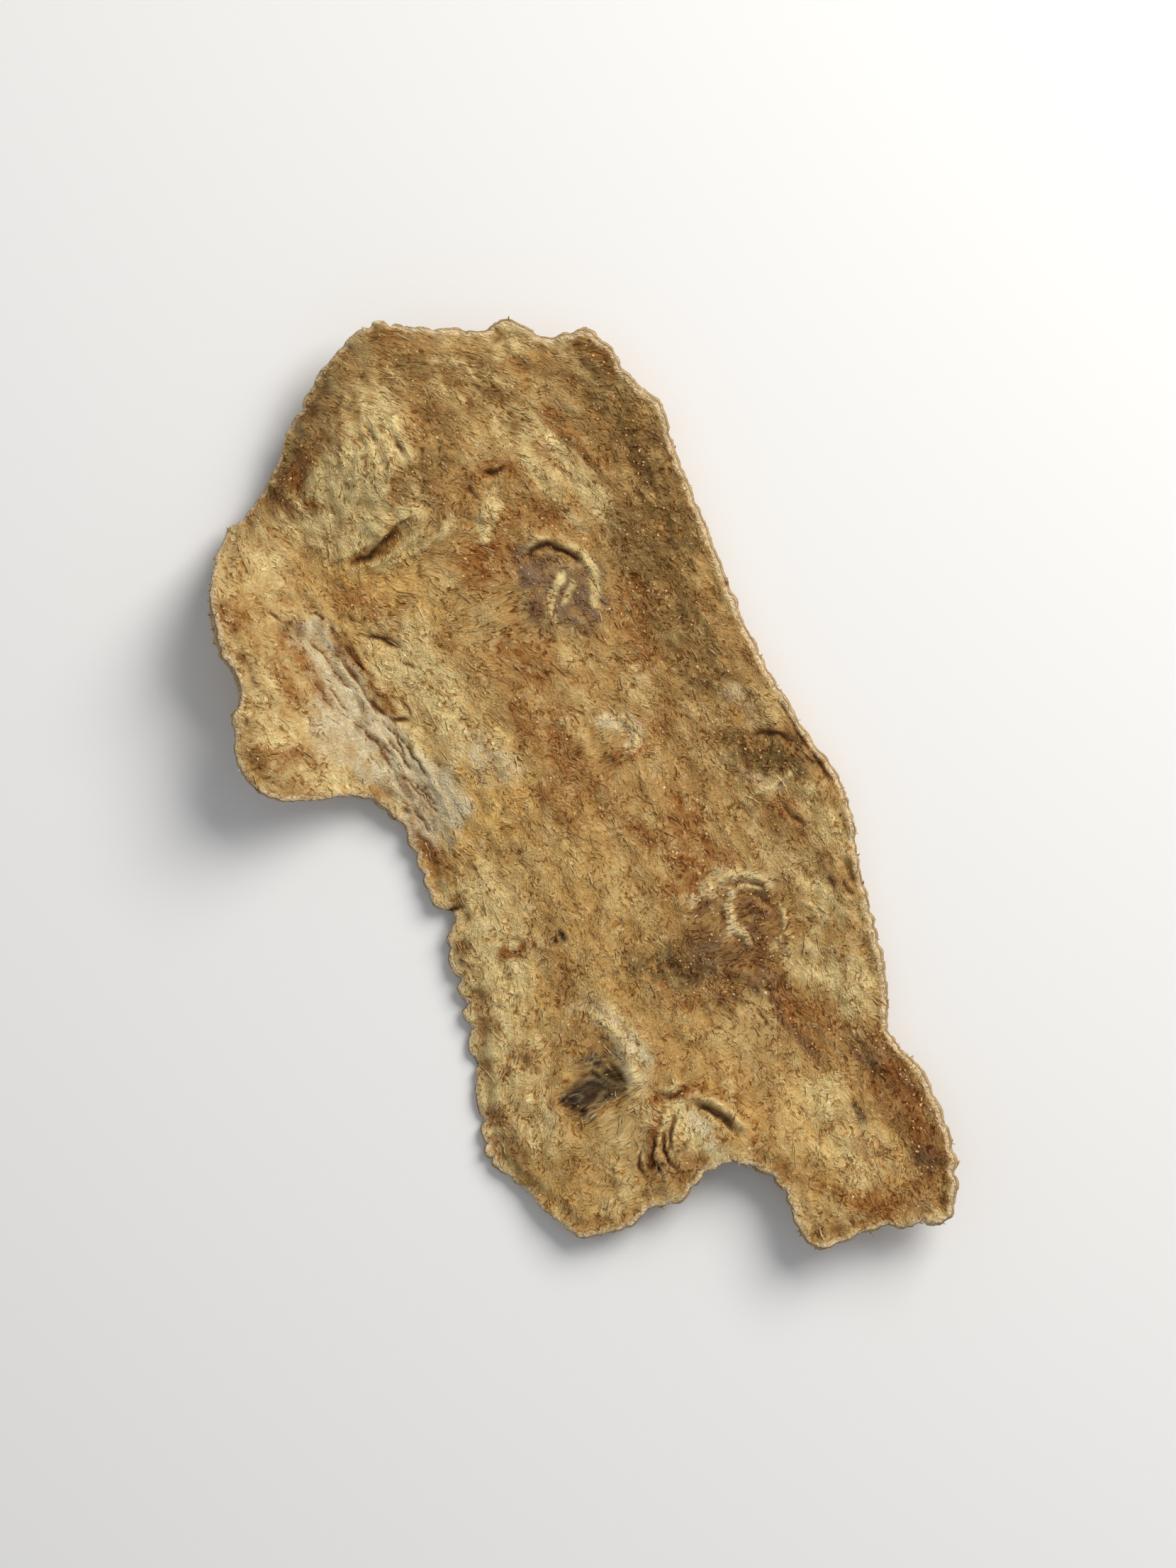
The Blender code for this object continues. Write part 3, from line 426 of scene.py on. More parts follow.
# Stains of the upper face, and painted shade in its holes: the colour, a line down the middle, its half
# width and its strength.
Stain = namedtuple("Stain", "colour points width strength")
STAINS = filled(
    Stain,
    (AMBER, ((-6.5, 24), (-5.5, 14), (-4.5, 4)), 4, 0.7),
    (AMBER, ((-8, 1), (-9.5, -12)), 3.4, 0.6),
    (AMBER, ((-11, -20), (-10, -29.5)), 4, 0.45),
    (AMBER, ((0, -4), (-2, -14)), 3.4, 0.32),
    (AMBER, ((1, -20), (4, -28)), 2.6, 0.25),
    (AMBER, ((9, -30), (10.5, -38)), 3.6, 0.6),
    (CREAM, ((-20, 22.5), (-18.6, 16), (-17.4, 12.4)), 2, 0.55),
    (CREAM, ((-17.4, 29.5), (-14, 29)), 1.8, 0.5),
    (CREAM, ((-12.6, -5), (-13.4, -12), (-15.2, -19), (-16.2, -24.5)), 1.1, 0.6),
    (CREAM, ((-7.5, 20), (-7.2, 8)), 2.2, 0.5),
    (CREAM, ((-4.6, 14.5), (-3.6, 9)), 1.6, 0.35),
    (CREAM, ((-6, 18), (-4, 12)), 2.6, 0.75),
    (CREAM, ((-5.6, 31.6), (-3, 31)), 1.6, 0.75),
    (CREAM, ((-9.5, -2), (-11, -12), (-12.5, -22)), 2.6, 0.6),
    (CREAM, ((-6, -27), (-9, -31)), 1.6, 0.3),
    (CREAM, ((6, -21), (7, -29), (8, -34)), 1.5, 0.14),
    (CREAM, ((2, -7), (3, -10)), 1.1, 0.15),
    (CREAM, ((-8, 31), (-5.5, 32), (-3.5, 35)), 1.7, 0.85),
    (CREAM, ((-4.5, 29.5), (-2, 31), (0, 34.5), (-0.5, 37)), 1.6, 0.6),
    (CREAM, ((-10.5, 30.2), (-8, 28.6)), 1.4, 0.5),
    (CREAM, ((-8, 30.4), (-6.4, 32.2), (-4.8, 33.4)), 0.7, 0.85),
    (CREAM, ((-5.4, 30.4), (-3.8, 32), (-2.8, 33.8)), 0.7, 0.85),
    (CREAM, ((-2.6, 31.2), (-1.4, 33.4), (-0.6, 36.4)), 0.6, 0.85),
    (CREAM, ((-0.2, 33), (0.6, 37.5)), 0.6, 0.9),
    (CREAM, ((-5.6, 32.6), (-3.2, 30.4)), 1.4, 0.85),
    (RUST, ((-8.4, 34.2), (-6.2, 35.8)), 0.9, 0.6),
    (RUST, ((-4.4, 35.2), (-3, 37.4)), 0.8, 0.5),
    (RUST, ((-9.6, 32.2), (-8.4, 31.6)), 0.6, 0.6),
    (RUST, ((-2.2, 29.8), (-1, 31.2)), 0.6, 0.5),
    (CREAM, ((5.6, 38.6), (7.2, 37.6), (7.8, 36)), 0.5, 0.6),
    (OLIVE, ((2.6, 37.8), (4.4, 36), (8.6, 34.2)), 1.8, 0.42),
    (CREAM, ((10.5, 38), (13, 37.6), (16.5, 35.6)), 1.2, 0.6),
    (CREAM, ((8.5, 31.5), (10.5, 26)), 1.3, 0.4),
    (CREAM, ((4.6, 36.2), (5.6, 34.8), (7, 35.2)), 0.5, 0.4),
    (CREAM, ((8.8, 36.4), (10.4, 34.4)), 0.45, 0.6),
    (CREAM, ((10.2, 32), (12, 28.4)), 1, 0.6),
    (CREAM, ((9.3, 30.8), (11, 28.6), (12.6, 25.4), (14.2, 22.6)), 0.45, 0.65),
    (CREAM, ((9.4, 26.6), (10.4, 23.4), (11.4, 20.6)), 0.42, 0.6),
    (CREAM, ((11.5, 26.4), (12.8, 23), (13.8, 19.8)), 0.4, 0.55),
    (RUST, ((10.6, 29), (12.2, 25.6)), 0.4, 0.5),
    (RUST, ((13.6, 28), (14.8, 25.6)), 0.6, 0.45),
    (OLIVE, ((8, 26.6), (8.6, 23)), 0.5, 0.4),
    (RUST, ((12.6, 31.4), (13.6, 28.6)), 0.8, 0.5),
    (RUST, ((5, 28.9), (7.8, 28.2)), 0.7, 0.6),
    (CREAM, ((12.2, 27), (13.6, 20)), 1.2, 0.35),
    (OLIVE, ((-11, 33.8), (-7, 37.2), (-3, 40)), 1.5, 0.45),
    (OLIVE, ((-0.2, 30.4), (2.8, 32.2), (3.8, 34)), 1.5, 0.45),
    (OLIVE, ((2.5, 41.5), (4.5, 38.5), (8.4, 37.6)), 1.1, 0.3),
    (OLIVE, ((9, 36), (10, 31.5)), 1.6, 0.35),
    (OLIVE, ((18.8, 33), (18.7, 27), (18.4, 22), (18.4, 17)), 2.4, 0.7),
    (OLIVE, ((14.6, 20), (15.4, 12), (16.5, 5)), 1.9, 0.5),
    (RUST, ((-10, 33.5), (-7, 34.6)), 1, 0.5),
    (RUST, ((2, 22.6), (5, 21.4)), 1.8, 0.55),
    (RUST, ((-8.8, 23.6), (-6.6, 20.6)), 1.2, 0.55),
    (RUST, ((6.2, 24.6), (9.5, 23)), 1.2, 0.4),
    (RUST, ((1, 30), (1.8, 26.5)), 0.9, 0.35),
    (RUST, ((1.4, 14.5), (3.4, 11.5)), 1.2, 0.5),
    (RUST, ((13.2, 14.2), (12.2, 9)), 1.6, 0.55),
    (RUST, ((-3, 17.5), (-1.5, 13.5)), 0.8, 0.35),
    (RUST, ((1, 9), (2.2, 3)), 1.4, 0.45),
    (CREAM, ((-8.5, 27.8), (-4, 28), (0.5, 28.4)), 0.8, 0.7),
    (CREAM, ((-5.5, 25.2), (-1, 25.6), (1.5, 26.4)), 0.7, 0.6),
    (RUST, ((-7.2, 26.5), (-5, 26.4), (-3, 27.3)), 0.5, 0.7),
    (CREAM, ((3.4, 24), (5.6, 26.4)), 0.65, 0.85),
    (ASH, ((6.6, 19), (7.6, 17), (8.6, 16.6)), 2.7, 0.95),
    (PURPLE, ((4.6, 14.4), (5.4, 16.6)), 1, 0.5),
    (CREAM, ((5.6, 15.4), (6.9, 17), (8.3, 18.2)), 0.3, 0.9),
    (CREAM, ((7.6, 16.1), (8.8, 17.2)), 0.22, 0.8),
    (CREAM, ((10.4, 19.2), (10.6, 17.2), (10, 15.2)), 0.5, 0.7),
    (CREAM, ((-20.5, 13), (-17, 10.6), (-14.4, 9.6)), 1, 0.6),
    (RUST, ((-20.2, 14), (-17, 12.6)), 0.9, 0.55),
    (CREAM, ((-16.2, 31.6), (-12.5, 31.5)), 1.2, 0.4),
    (CREAM, ((-14.8, 25), (-13.6, 22.6)), 1.6, 0.5),
    (CHALK, ((-13.6, 21.6), (-12.9, 18), (-12.4, 14)), 1.7, 0.9),
    (CHALK, ((-13.6, 14.8), (-12.2, 11), (-10.4, 7.6), (-9.2, 4.6)), 2.4, 0.95),
    (CHALK, ((-10.6, 12.4), (-9.2, 8.4), (-8.6, 5.6)), 1.3, 0.85),
    (PURPLE, ((-14.6, 23.4), (-12.4, 21.8), (-11.6, 20.2)), 1, 0.4),
    (RUST, ((-15.6, 22.6), (-15, 20.6)), 0.6, 0.55),
    (RUST, ((-14.9, 20), (-14.3, 16.2)), 0.55, 0.5),
    (PURPLE, ((-12.2, 20), (-11.4, 16.4), (-11.6, 13.6)), 0.5, 0.45),
    (PURPLE, ((-12.8, 13.4), (-11.6, 10), (-10.8, 6.4)), 0.35, 0.45),
    (PURPLE, ((-11.2, 7.4), (-9.6, 3.4)), 0.6, 0.35),
    (RUST, ((-10.9, 20), (-10.2, 17.6), (-9.7, 15.2), (-9.2, 13.2)), 0.6, 0.55),
    (RUST, ((-19.8, 27.2), (-18.6, 25.6)), 0.8, 0.5),
    (RUST, ((-17.2, 21), (-16.4, 17.6)), 0.6, 0.4),
    (MILK, ((-4.2, 8.2), (-3.2, 5.6)), 1.8, 0.45),
    (MILK, ((6.4, 5.8), (8.2, 5.2), (8.5, 3.6), (7.4, 2.7)), 0.55, 0.65),
    (RUST, ((5.6, 2.4), (8.6, 2)), 0.9, 0.6),
    (RUST, ((3.2, 1.6), (4.6, -2.4)), 1.8, 0.2),
    (RUST, ((-0.6, 2.4), (0.6, -1.6)), 0.9, 0.4),
    (RUST, ((4, 9.4), (2.6, 5.6)), 0.8, 0.35),
    (RUST, ((11, 3.6), (14, 0.5)), 1.6, 0.36),
    (RUST, ((9.4, -4.4), (10.8, -8.6)), 1.7, 0.52),
    (RUST, ((7.4, -7), (8.4, -9)), 1.2, 0.6),
    (RUST, ((5, -3.4), (5.6, -5)), 0.8, 0.5),
    (RUST, ((-11.6, 3.4), (-9.4, -0.8)), 1, 0.4),
    (UMBER, ((-11.6, 3.4), (-10.8, 1.2)), 0.6, 0.4),
    (CREAM, ((-9.4, -3.6), (-10.8, -6.4), (-9.6, -10.6)), 2, 0.6),
    (CREAM, ((-6.4, -5.8), (-7.4, -10.6)), 1.4, 0.5),
    (RUST, ((-8.8, -8.8), (-7, -8.9)), 0.8, 0.75),
    (CREAM, ((-8.1, -8.3), (-7.6, -8.9)), 0.4, 0.9),
    # Painted shade in two small holes.
    (HOLE_SHADE, ((-3.9, -8.9), (-3.8, -9.4)), 0.3, 1.6),
    (HOLE_SHADE, ((-4.6, -9.2), (-4.6, -9.3)), 0.22, 1.6),
    (RUST, ((-5.2, -9.6), (-5.8, -13)), 1, 0.4),
    (OLIVE, ((16.5, -1.2), (19.4, -3)), 1.7, 0.8),
    (MILK, ((17.6, 3.4), (18.8, 1.2)), 0.9, 0.35),
    (MILK, ((15.6, -3), (17.6, -4.8)), 0.7, 0.3),
    (RUST, ((17, -6.5), (18.6, -9.4)), 0.8, 0.5),
    (CREAM, ((19.4, -6.4), (20.4, -11.5)), 1.3, 0.5),
    (CREAM, ((14.8, -9.2), (16.4, -12.8)), 1.2, 0.45),
    (MILK, ((7.6, -10.9), (9.5, -10.5), (11.5, -10.6), (13.4, -11.8)), 0.9, 0.55),
    (RUST, ((6.2, -9.4), (7.6, -9.8)), 0.9, 0.6),
    (RUST, ((15.6, -11.6), (17.2, -12.8)), 0.9, 0.5),
    (PURPLE, ((11.2, -12.8), (12, -14.4), (10.9, -16.6)), 1.8, 0.64),
    (PURPLE, ((9.4, -17.2), (7.4, -19)), 2.1, 0.6),
    (PURPLE, ((7.4, -13.2), (6, -15.4)), 1.9, 0.6),
    (ASH, ((7, -15), (6, -16.2)), 1.2, 0.5),
    (OLIVE, ((1.2, -14), (4.6, -15.8)), 1.5, 0.6),
    (UMBER, ((2.8, -14.8), (5, -16.6)), 1, 0.4),
    (UMBER, ((9.4, -20), (10.8, -20.5)), 0.9, 0.7),
    (RUST, ((1.6, -17), (3.2, -18.6)), 1, 0.5),
    (MILK, ((10.4, -11.8), (9.7, -12.6), (9.4, -13.8)), 0.42, 0.9),
    (MILK, ((9, -14.4), (9.8, -15.2), (10, -15.9)), 0.42, 0.95),
    (PURPLE, ((9.8, -19.4), (12, -22), (14.8, -25.2)), 0.9, 0.25),
    (RUST, ((10.6, -21.2), (12, -23), (14.2, -25.2)), 1.1, 0.4),
    (RUST, ((10.6, -22), (11.7, -25.4)), 1, 0.36),
    (PURPLE, ((9.7, -21.2), (10.5, -24), (11.4, -27)), 0.5, 0.65),
    (UMBER, ((10.6, -25.6), (11.3, -26.8)), 0.4, 0.35),
    (CREAM, ((13.6, -18.2), (16, -21.5), (17.6, -24)), 1.9, 0.6),
    (CREAM, ((16.5, -12), (18.8, -17)), 1.5, 0.5),
    (PURPLE, ((15.2, -27.6), (16.4, -29.5), (17.4, -32.6), (17.2, -36), (16, -38.8)), 1.8, 0.75),
    (RUST, ((16.4, -30.5), (17.2, -33), (16.8, -36.5)), 1.6, 0.45),
    (CREAM, ((10.4, -30), (11.4, -36)), 2.2, 0.65),
    (CREAM, ((7.4, -38.6), (8.4, -40.2)), 0.8, 0.5),
    (UMBER, ((12.8, -31.8), (13, -33)), 0.55, 0.5),
    (UMBER, ((15.4, -28.8), (15.8, -29.6)), 0.6, 0.5),
    (UMBER, ((15.6, -37.8), (16.8, -38.4)), 0.7, 0.5),
    (RUST, ((11.5, -34.5), (12.5, -37.5)), 1.2, 0.4),
    (RUST, ((8.8, -37.8), (11.2, -39.6)), 1.8, 0.45),
    (RUST, ((9, -40), (12, -41), (16, -40.6)), 1.2, 0.5),
    (CREAM, ((12, -42.6), (15, -43)), 0.7, 0.5),
    (UMBER, ((-6.2, -21.4), (-4.4, -21.2)), 2.1, 0.9),
    # Painted shade in the pit's slit and at its end.
    (HOLE_SHADE, ((-8, -22), (-6.2, -22.2)), 1.2, 0.97),
    (HOLE_SHADE, ((-8, -22.3), (-7.5, -23.4)), 0.9, 0.95),
    (HOLE_SHADE, ((-5.6, -20.2), (-4.2, -21.2)), 0.4, 0.5),
    (RUST, ((-12.2, -17.6), (-10.6, -17.2)), 1, 0.55),
    (RUST, ((-14.6, -20.5), (-14, -24.6)), 0.8, 0.45),
    (RUST, ((-9.8, -21.5), (-9, -24)), 0.7, 0.32),
    (RUST, ((-13, -32), (-9, -32.6)), 0.8, 0.35),
    (CREAM, ((-4.6, -15.2), (-3, -18.4), (-3.1, -23.6), (-4, -28)), 1.2, 0.35),
    (CREAM, ((-0.6, -26.8), (-0.2, -30.6)), 1.4, 0.9),
    (MILK, ((-0.2, -27.6), (0.6, -30.2)), 0.8, 0.5),
    (MILK, ((-4.2, -15.8), (-2.8, -19), (-2.8, -22.8)), 1, 0.4),
    (RUST, ((-2.6, -24.8), (1.4, -25.2)), 0.6, 0.6),
    (RUST, ((-3.2, -26.4), (-4.6, -28.8), (-4.8, -30.6)), 0.8, 0.6),
    (RUST, ((2.4, -26.2), (3.4, -27.2)), 0.8, 0.5),
)
UNDER_STAINS = filled(
    Stain,
    (AMBER, ((-6, 28), (-2, 12)), 4, 0.6),
    (OLIVE, ((12, 34), (16, 16)), 3, 0.5),
    (OLIVE, ((14, -4), (12, -14)), 2.6, 0.45),
    (PURPLE, ((4, -2), (5.6, -12)), 1.8, 0.5),
    (CREAM, ((-16, 26), (-12, 10)), 3, 0.5),
    (CREAM, ((8, 8), (9, -3)), 2.4, 0.35),
    (RUST, ((-9, -6), (-11, -18)), 2.2, 0.4),
    (RUST, ((1, 34), (4, 24)), 2.4, 0.4),
    (UMBER, ((-1, -22), (0.4, -28)), 1.4, 0.6),
    (AMBER, ((11, -24), (10, -38)), 3.4, 0.5),
)

# How the plain flesh is mottled, and how the stains on it are warped and broken up.
MOTTLE_SIZES = ((2.4, 5.0), (0.8, 1.9))
MOTTLE_FINENESS = 0.8
MOTTLE_SOFTNESS = 0.45
MOTTLE_SEED = 40.0
CREAM_MOTTLE = 0.25
RUST_MOTTLE = 0.22
STAIN_CORE = 0.45
STAIN_SEED = 70.0
STAIN_WARPS = ((1.5, 3.4), (0.9, 1.1))
STAIN_WARP_SEED = 9
STAIN_FULL_DRIFT = 1.8
STAIN_BREAKUP = 1.5
STAIN_GRAIN = (0.5, 1.5)
STAIN_GRAIN_SEED = 20
STAIN_SEED_STEP = 1.7

# The deepest that relief goes into the slice, and how fine relief paints light and shade into the colour:
# raised places painted lighter, hollows painted darker.
DEEPEST = 0.95
RELIEF_SHADING = 0.9
RELIEF_SHADING_LIMIT = 0.25
RELIEF_SHADING_TINT = (0.7, 1.0, 1.4)

# The third coordinate of the grain, which sets the noise of each side apart.
UNDERSIDE_GRAIN = 30.0
RIM_GRAIN = 60.0
RIM_GRAIN_STEP = 0.3

# Where a mark comes and goes: its average, how strongly it varies, and how wide its patches are.
Patches = namedtuple("Patches", "average variation pitch seed")
# Where the painted shade in the rim's groove comes and goes.
GROOVE_SHADE_PATCHES = Patches(0.3, 1.5, 1.3, 63.0)
SAP_PATCHES = Patches(0.5, 2.5, 1.6, 91.0)
FRAY_PATCHES = Patches(0.5, 2.0, 2.0, 92.0)

# How high above the table loose fibres and grains begin, and how thickly they lie.
FLOOR_GAP = 0.6
FELT_LEAST = 0.35
FELT_ON_PALE = 0.65
FELT_ON_UMBER = 1.5
FELT_OFF_HOLE_SHADE = 0.8
FELT_INSET = 0.5
SAP_LEAST = 0.15
SAP_INSET = 0.6
FRAY_WIDTH = 0.5
FRAY_SLANT = 0.5

# The short fibres that lie on the faces and stick out of the rims, and the grains of dried resin.
# Density is in pieces for a square metre, sway and lift in radians.
Strew = namedtuple("Strew", "name shape where run density shortest longest thickness sway lift seed")
STREWN = filled(
    Strew,
    ("root_felt", "strand", "felt", "run", 0.22e6, 0.35 * MM, 0.85 * MM, 0.07 * MM, 0.6, 0.05, 4),
    ("root_fray", "strand", "fray", "loose", 0.55e6, 0.16 * MM, 0.36 * MM, 0.07 * MM, 1.1, 0.7, 8),
    ("root_sap_grains", "grain", "sap", "run", 2.0e6, 0.18 * MM, 0.36 * MM, 0.18 * MM, 3.0, 0.5, 15),
)
STREW_INPUTS = {"Where": "String", "Run": "String", "Density": "Float", "Shortest": "Float"}
STREW_INPUTS |= {"Longest": "Float", "Thickness": "Float", "Sway": "Float", "Lift": "Float", "Seed": "Int"}
TURN_SEED, LENGTH_SEED, THICKNESS_SEED, SHADE_SEED = 1, 2, 3, 4
STREW_TWIST = 3.0
STREW_STOUTNESS = (0.6, 1.3)
STRAND_STEPS = 4
STRAND_SIDES = 3
STRAND_BOW = 0.4
STRAND_END = 0.08
STRAND_SWELL = 0.42

# What the points of the skin hold for its finish and for what is strewn on it.
# The colour stored for each point holds its stains together with painted light and shade.
VECTOR_MARKS = ("run", "loose", "stain_and_shading")
PLAIN_MARKS = ("dark", "dull", "flecks", "clean", "rim")
LOOSE_MARKS = ("felt", "fray", "sap")
SPARE_MARKS = ("grain", "run", "loose", "bark", *PLAIN_MARKS, *LOOSE_MARKS)

# Clouds of noise in the finish: sizes across and along the fibres in millimetres.
Cloud = namedtuple("Cloud", "sizes seed detail roughness")
SOFT_TONE = Cloud((0.8, 1.4), 11.7, 3.0, 0.55)
TONE_DRIFT = Cloud((2.4, 3.6), 37.3, 3.0, 0.55)
TONE_PATCHES = Cloud((1.1, 1.8), 41.1, 3.0, 0.55)
PALE_FIBRES = Cloud((0.25, 0.55), 3.1, 2.0, 0.6)
DARK_DASHES = Cloud((0.22, 0.42), 5.9, 1.0, 0.55)
GRIT = Cloud((0.18, 0.21), 23.9, 1.0, 0.55)
SMEARS = Cloud((0.7, 1.2), 71.9, 4.0, 0.7)
RUSTY_FLECKS = Cloud((0.3, 0.5), 51.3, 2.0, 0.6)
GLINTS = Cloud((0.22, 0.28), 93.7, 0.0, 0.55)
BARK_GRAIN = Cloud((0.5, 0.5), 83.0, 3.0, 0.55)
NOISE_MIDDLE = 0.5
EDDY_RATE = 1.6
EDDY_REACH = 0.6

# How a value turns into another: from low and high to a result at each.
Gate = namedtuple("Gate", "low high at_low at_high")
FIBRE_GATE = Gate(0.54, 0.63, 0.0, 1.0)
FIBRES_ON_DULL = Gate(0.0, 1.0, 1.0, 0.4)
FIBRES_IN_PATCHES = Gate(0.42, 0.58, 1.0, 0.55)
FIBRES_IN_DRIFT = Gate(0.4, 0.62, 0.35, 1.0)
DASH_GATE = Gate(0.56, 0.64, 0.0, -1.3)
DASHES_IN_QUIET = Gate(0.41, 0.53, 1.0, 0.08)
LIT_GATE = Gate(0.0, 1.0, 0.0, 1.0)
DEEP_GATE = Gate(0.0, -1.0, 0.0, 1.0)
SMEAR_GATE = Gate(0.53, 0.68, 0.0, 0.42)
FLECK_GATE = Gate(0.565, 0.63, 0.0, 0.85)
GLINT_GATE = Gate(0.77, 0.83, 0.0, 0.8)
GLINT_GLOSS = Gate(0.72, 0.8, 0.75, 0.4)
RIM_GRIT_GATE = Gate(0.35, 0.65, 0.0, 1.0)
RIM_BREAKUP = Gate(0.35, 0.55, 0.6, 1.3)
RIM_GATE = Gate(0.35, 0.75, 0.0, 0.92)
CRACK_AND_SHADE_GATE = Gate(0.36, 0.8, 0.0, 0.85)
CRACK_AND_SHADE_CORE_GATE = Gate(0.65, 1.15, 0.0, 0.92)
BLEACH_GATE = Gate(0.15, 1.0, 0.0, 0.5)

# How strongly one pattern of the finish moves another.
SOFT_TONE_SHARE = 0.8
GRIT_SHARE = 1.7
FLECKS_UNQUIET = -0.12
CLEAN_QUIET = 0.15
SMEAR_ON_DULL = -0.1
FLECKS_FAVOURED = 0.11
FLECKS_OFF_CLEAN = -0.2
FLECKS_OFF_PATCHES = -0.4
BARK_SHARE = 0.6
CRACK_GRIT = 0.4
FIBRE_BUMP = 0.3
GRIT_BUMP = 0.5
BUMP_HEIGHT = 0.24

# Tints that the stains are multiplied by, and the colours laid over them.
LIT_TINT = (1.45, 1.5, 1.6)
DEEP_TINT = (0.6, 0.44, 0.27)
RUSTY_TINT = (0.68, 0.51, 0.34)
SMEAR_CREAM = (0.74, 0.59, 0.3)
GLINT_GOLD = (0.85, 0.68, 0.4)
RIM_BROWN = (0.52, 0.34, 0.16)
RIM_CREAM = (0.84, 0.68, 0.42)
BARK_BROWN = (0.19, 0.1, 0.04)
BARK_TAN = (0.54, 0.35, 0.16)
# Brown and black of the cracks and pores, also laid as painted shade in the rim's groove and along the
# shadow lines.
CRACK_AND_SHADE_BROWN = (0.25, 0.115, 0.036)
CRACK_AND_SHADE_BLACK = (0.05, 0.022, 0.008)
BLEACHED_FIBRE = (0.78, 0.62, 0.37)
DARK_SAP = (0.34, 0.14, 0.035)
AMBER_SAP = (0.86, 0.56, 0.24)
CARD_WHITE = (0.9, 0.9, 0.9)


def smooth(t):
    """0 below 0, 1 above 1, and an S curve between."""
    t = np.clip(t, 0.0, 1.0)
    return t * t * (3.0 - 2.0 * t)


def share(ramp, value):
    """How far up a ramp a value is, from 0 to 1."""
    return smooth((value - ramp.start) / ramp.run)


def bell(t):
    """1 at 0, falling smoothly to almost nothing at 2."""
    return np.exp(-t * t)


def ripple(x, y, seed=0.0):
    """Smooth noise at each place, from about -0.5 to 0.5."""
    return np.array([noise.noise((a, b, seed)) for a, b in zip(x.tolist(), y.tolist())])


def stain_share(t):
    """1 in the core of a stain, falling to 0 where t is 1 more than the core."""
    return 1.0 - smooth(t - STAIN_CORE)


def patchiness(x, y, patches):
    """How strong a mark that comes and goes is at each place, before it is held from 0 to 1."""
    return patches.average + patches.variation * ripple(x / patches.pitch, y / patches.pitch, patches.seed)


def mixed(colour, other, amount):
    """Rows of colour moved towards another colour, by an amount for each row."""
    amount = amount[:, None]
    return colour * (1.0 - amount) + np.array(other) * amount


def distance_to_line(x, y, points):
    """How far each place is from a line of points."""
    best = np.full(x.shape, np.inf)
    for (ax, ay), (bx, by) in zip(points, points[1:]):
        run_x, run_y = bx - ax, by - ay
        t = np.clip(((x - ax) * run_x + (y - ay) * run_y) / (run_x**2 + run_y**2), 0.0, 1.0)
        best = np.minimum(best, np.hypot(x - ax - t * run_x, y - ay - t * run_y))
    return best


def line_closeness(x, y, line):
    """1 on a line, falling away beside it and towards its ends."""
    (ax, ay), (bx, by) = line.points[0], line.points[-1]
    to_end = np.minimum(np.hypot(x - ax, y - ay), np.hypot(x - bx, y - by))
    tapered = smooth(LINE_END + (1.0 - LINE_END) * to_end / (LINE_TAPER * line.width))
    return tapered * bell(distance_to_line(x, y, line.points) / line.width)


def catmull_rom(before, start, end, after, t):
    """Points on the curve from start to end, at each t from 0 to 1."""
    slope_in, slope_out = (end - before) / 2, (after - start) / 2
    return (
        np.outer(2 * t**3 - 3 * t**2 + 1, start)
        + np.outer(t**3 - 2 * t**2 + t, slope_in)
        + np.outer(3 * t**2 - 2 * t**3, end)
        + np.outer(t**3 - t**2, slope_out)
    )


def outward(line):
    """The outward normals of a closed clockwise line."""
    along = np.roll(line, -1, axis=0) - np.roll(line, 1, axis=0)
    normals = np.column_stack((-along[:, 1], along[:, 0]))
    return normals / np.linalg.norm(normals, axis=1, keepdims=True)


def uneven(noise_along, phase):
    """A slow noise along the edge."""
    seeds = np.full_like(phase, noise_along.seed)
    return noise_along.amount * ripple(phase * noise_along.rate, seeds)


def frill_shape(phase):
    """Rounded knobs with sharp clefts between them, of uneven size, about 0 on average."""
    phase = phase + uneven(KNOB_SPACING, phase)
    knob = np.abs(np.sin(np.pi * phase)) ** KNOB_POWER - KNOB_POWER
    strength = np.maximum(0.0, MEAN_STRENGTH + uneven(KNOB_STRENGTH, phase))
    return knob * strength + uneven(EDGE_WANDER, phase)


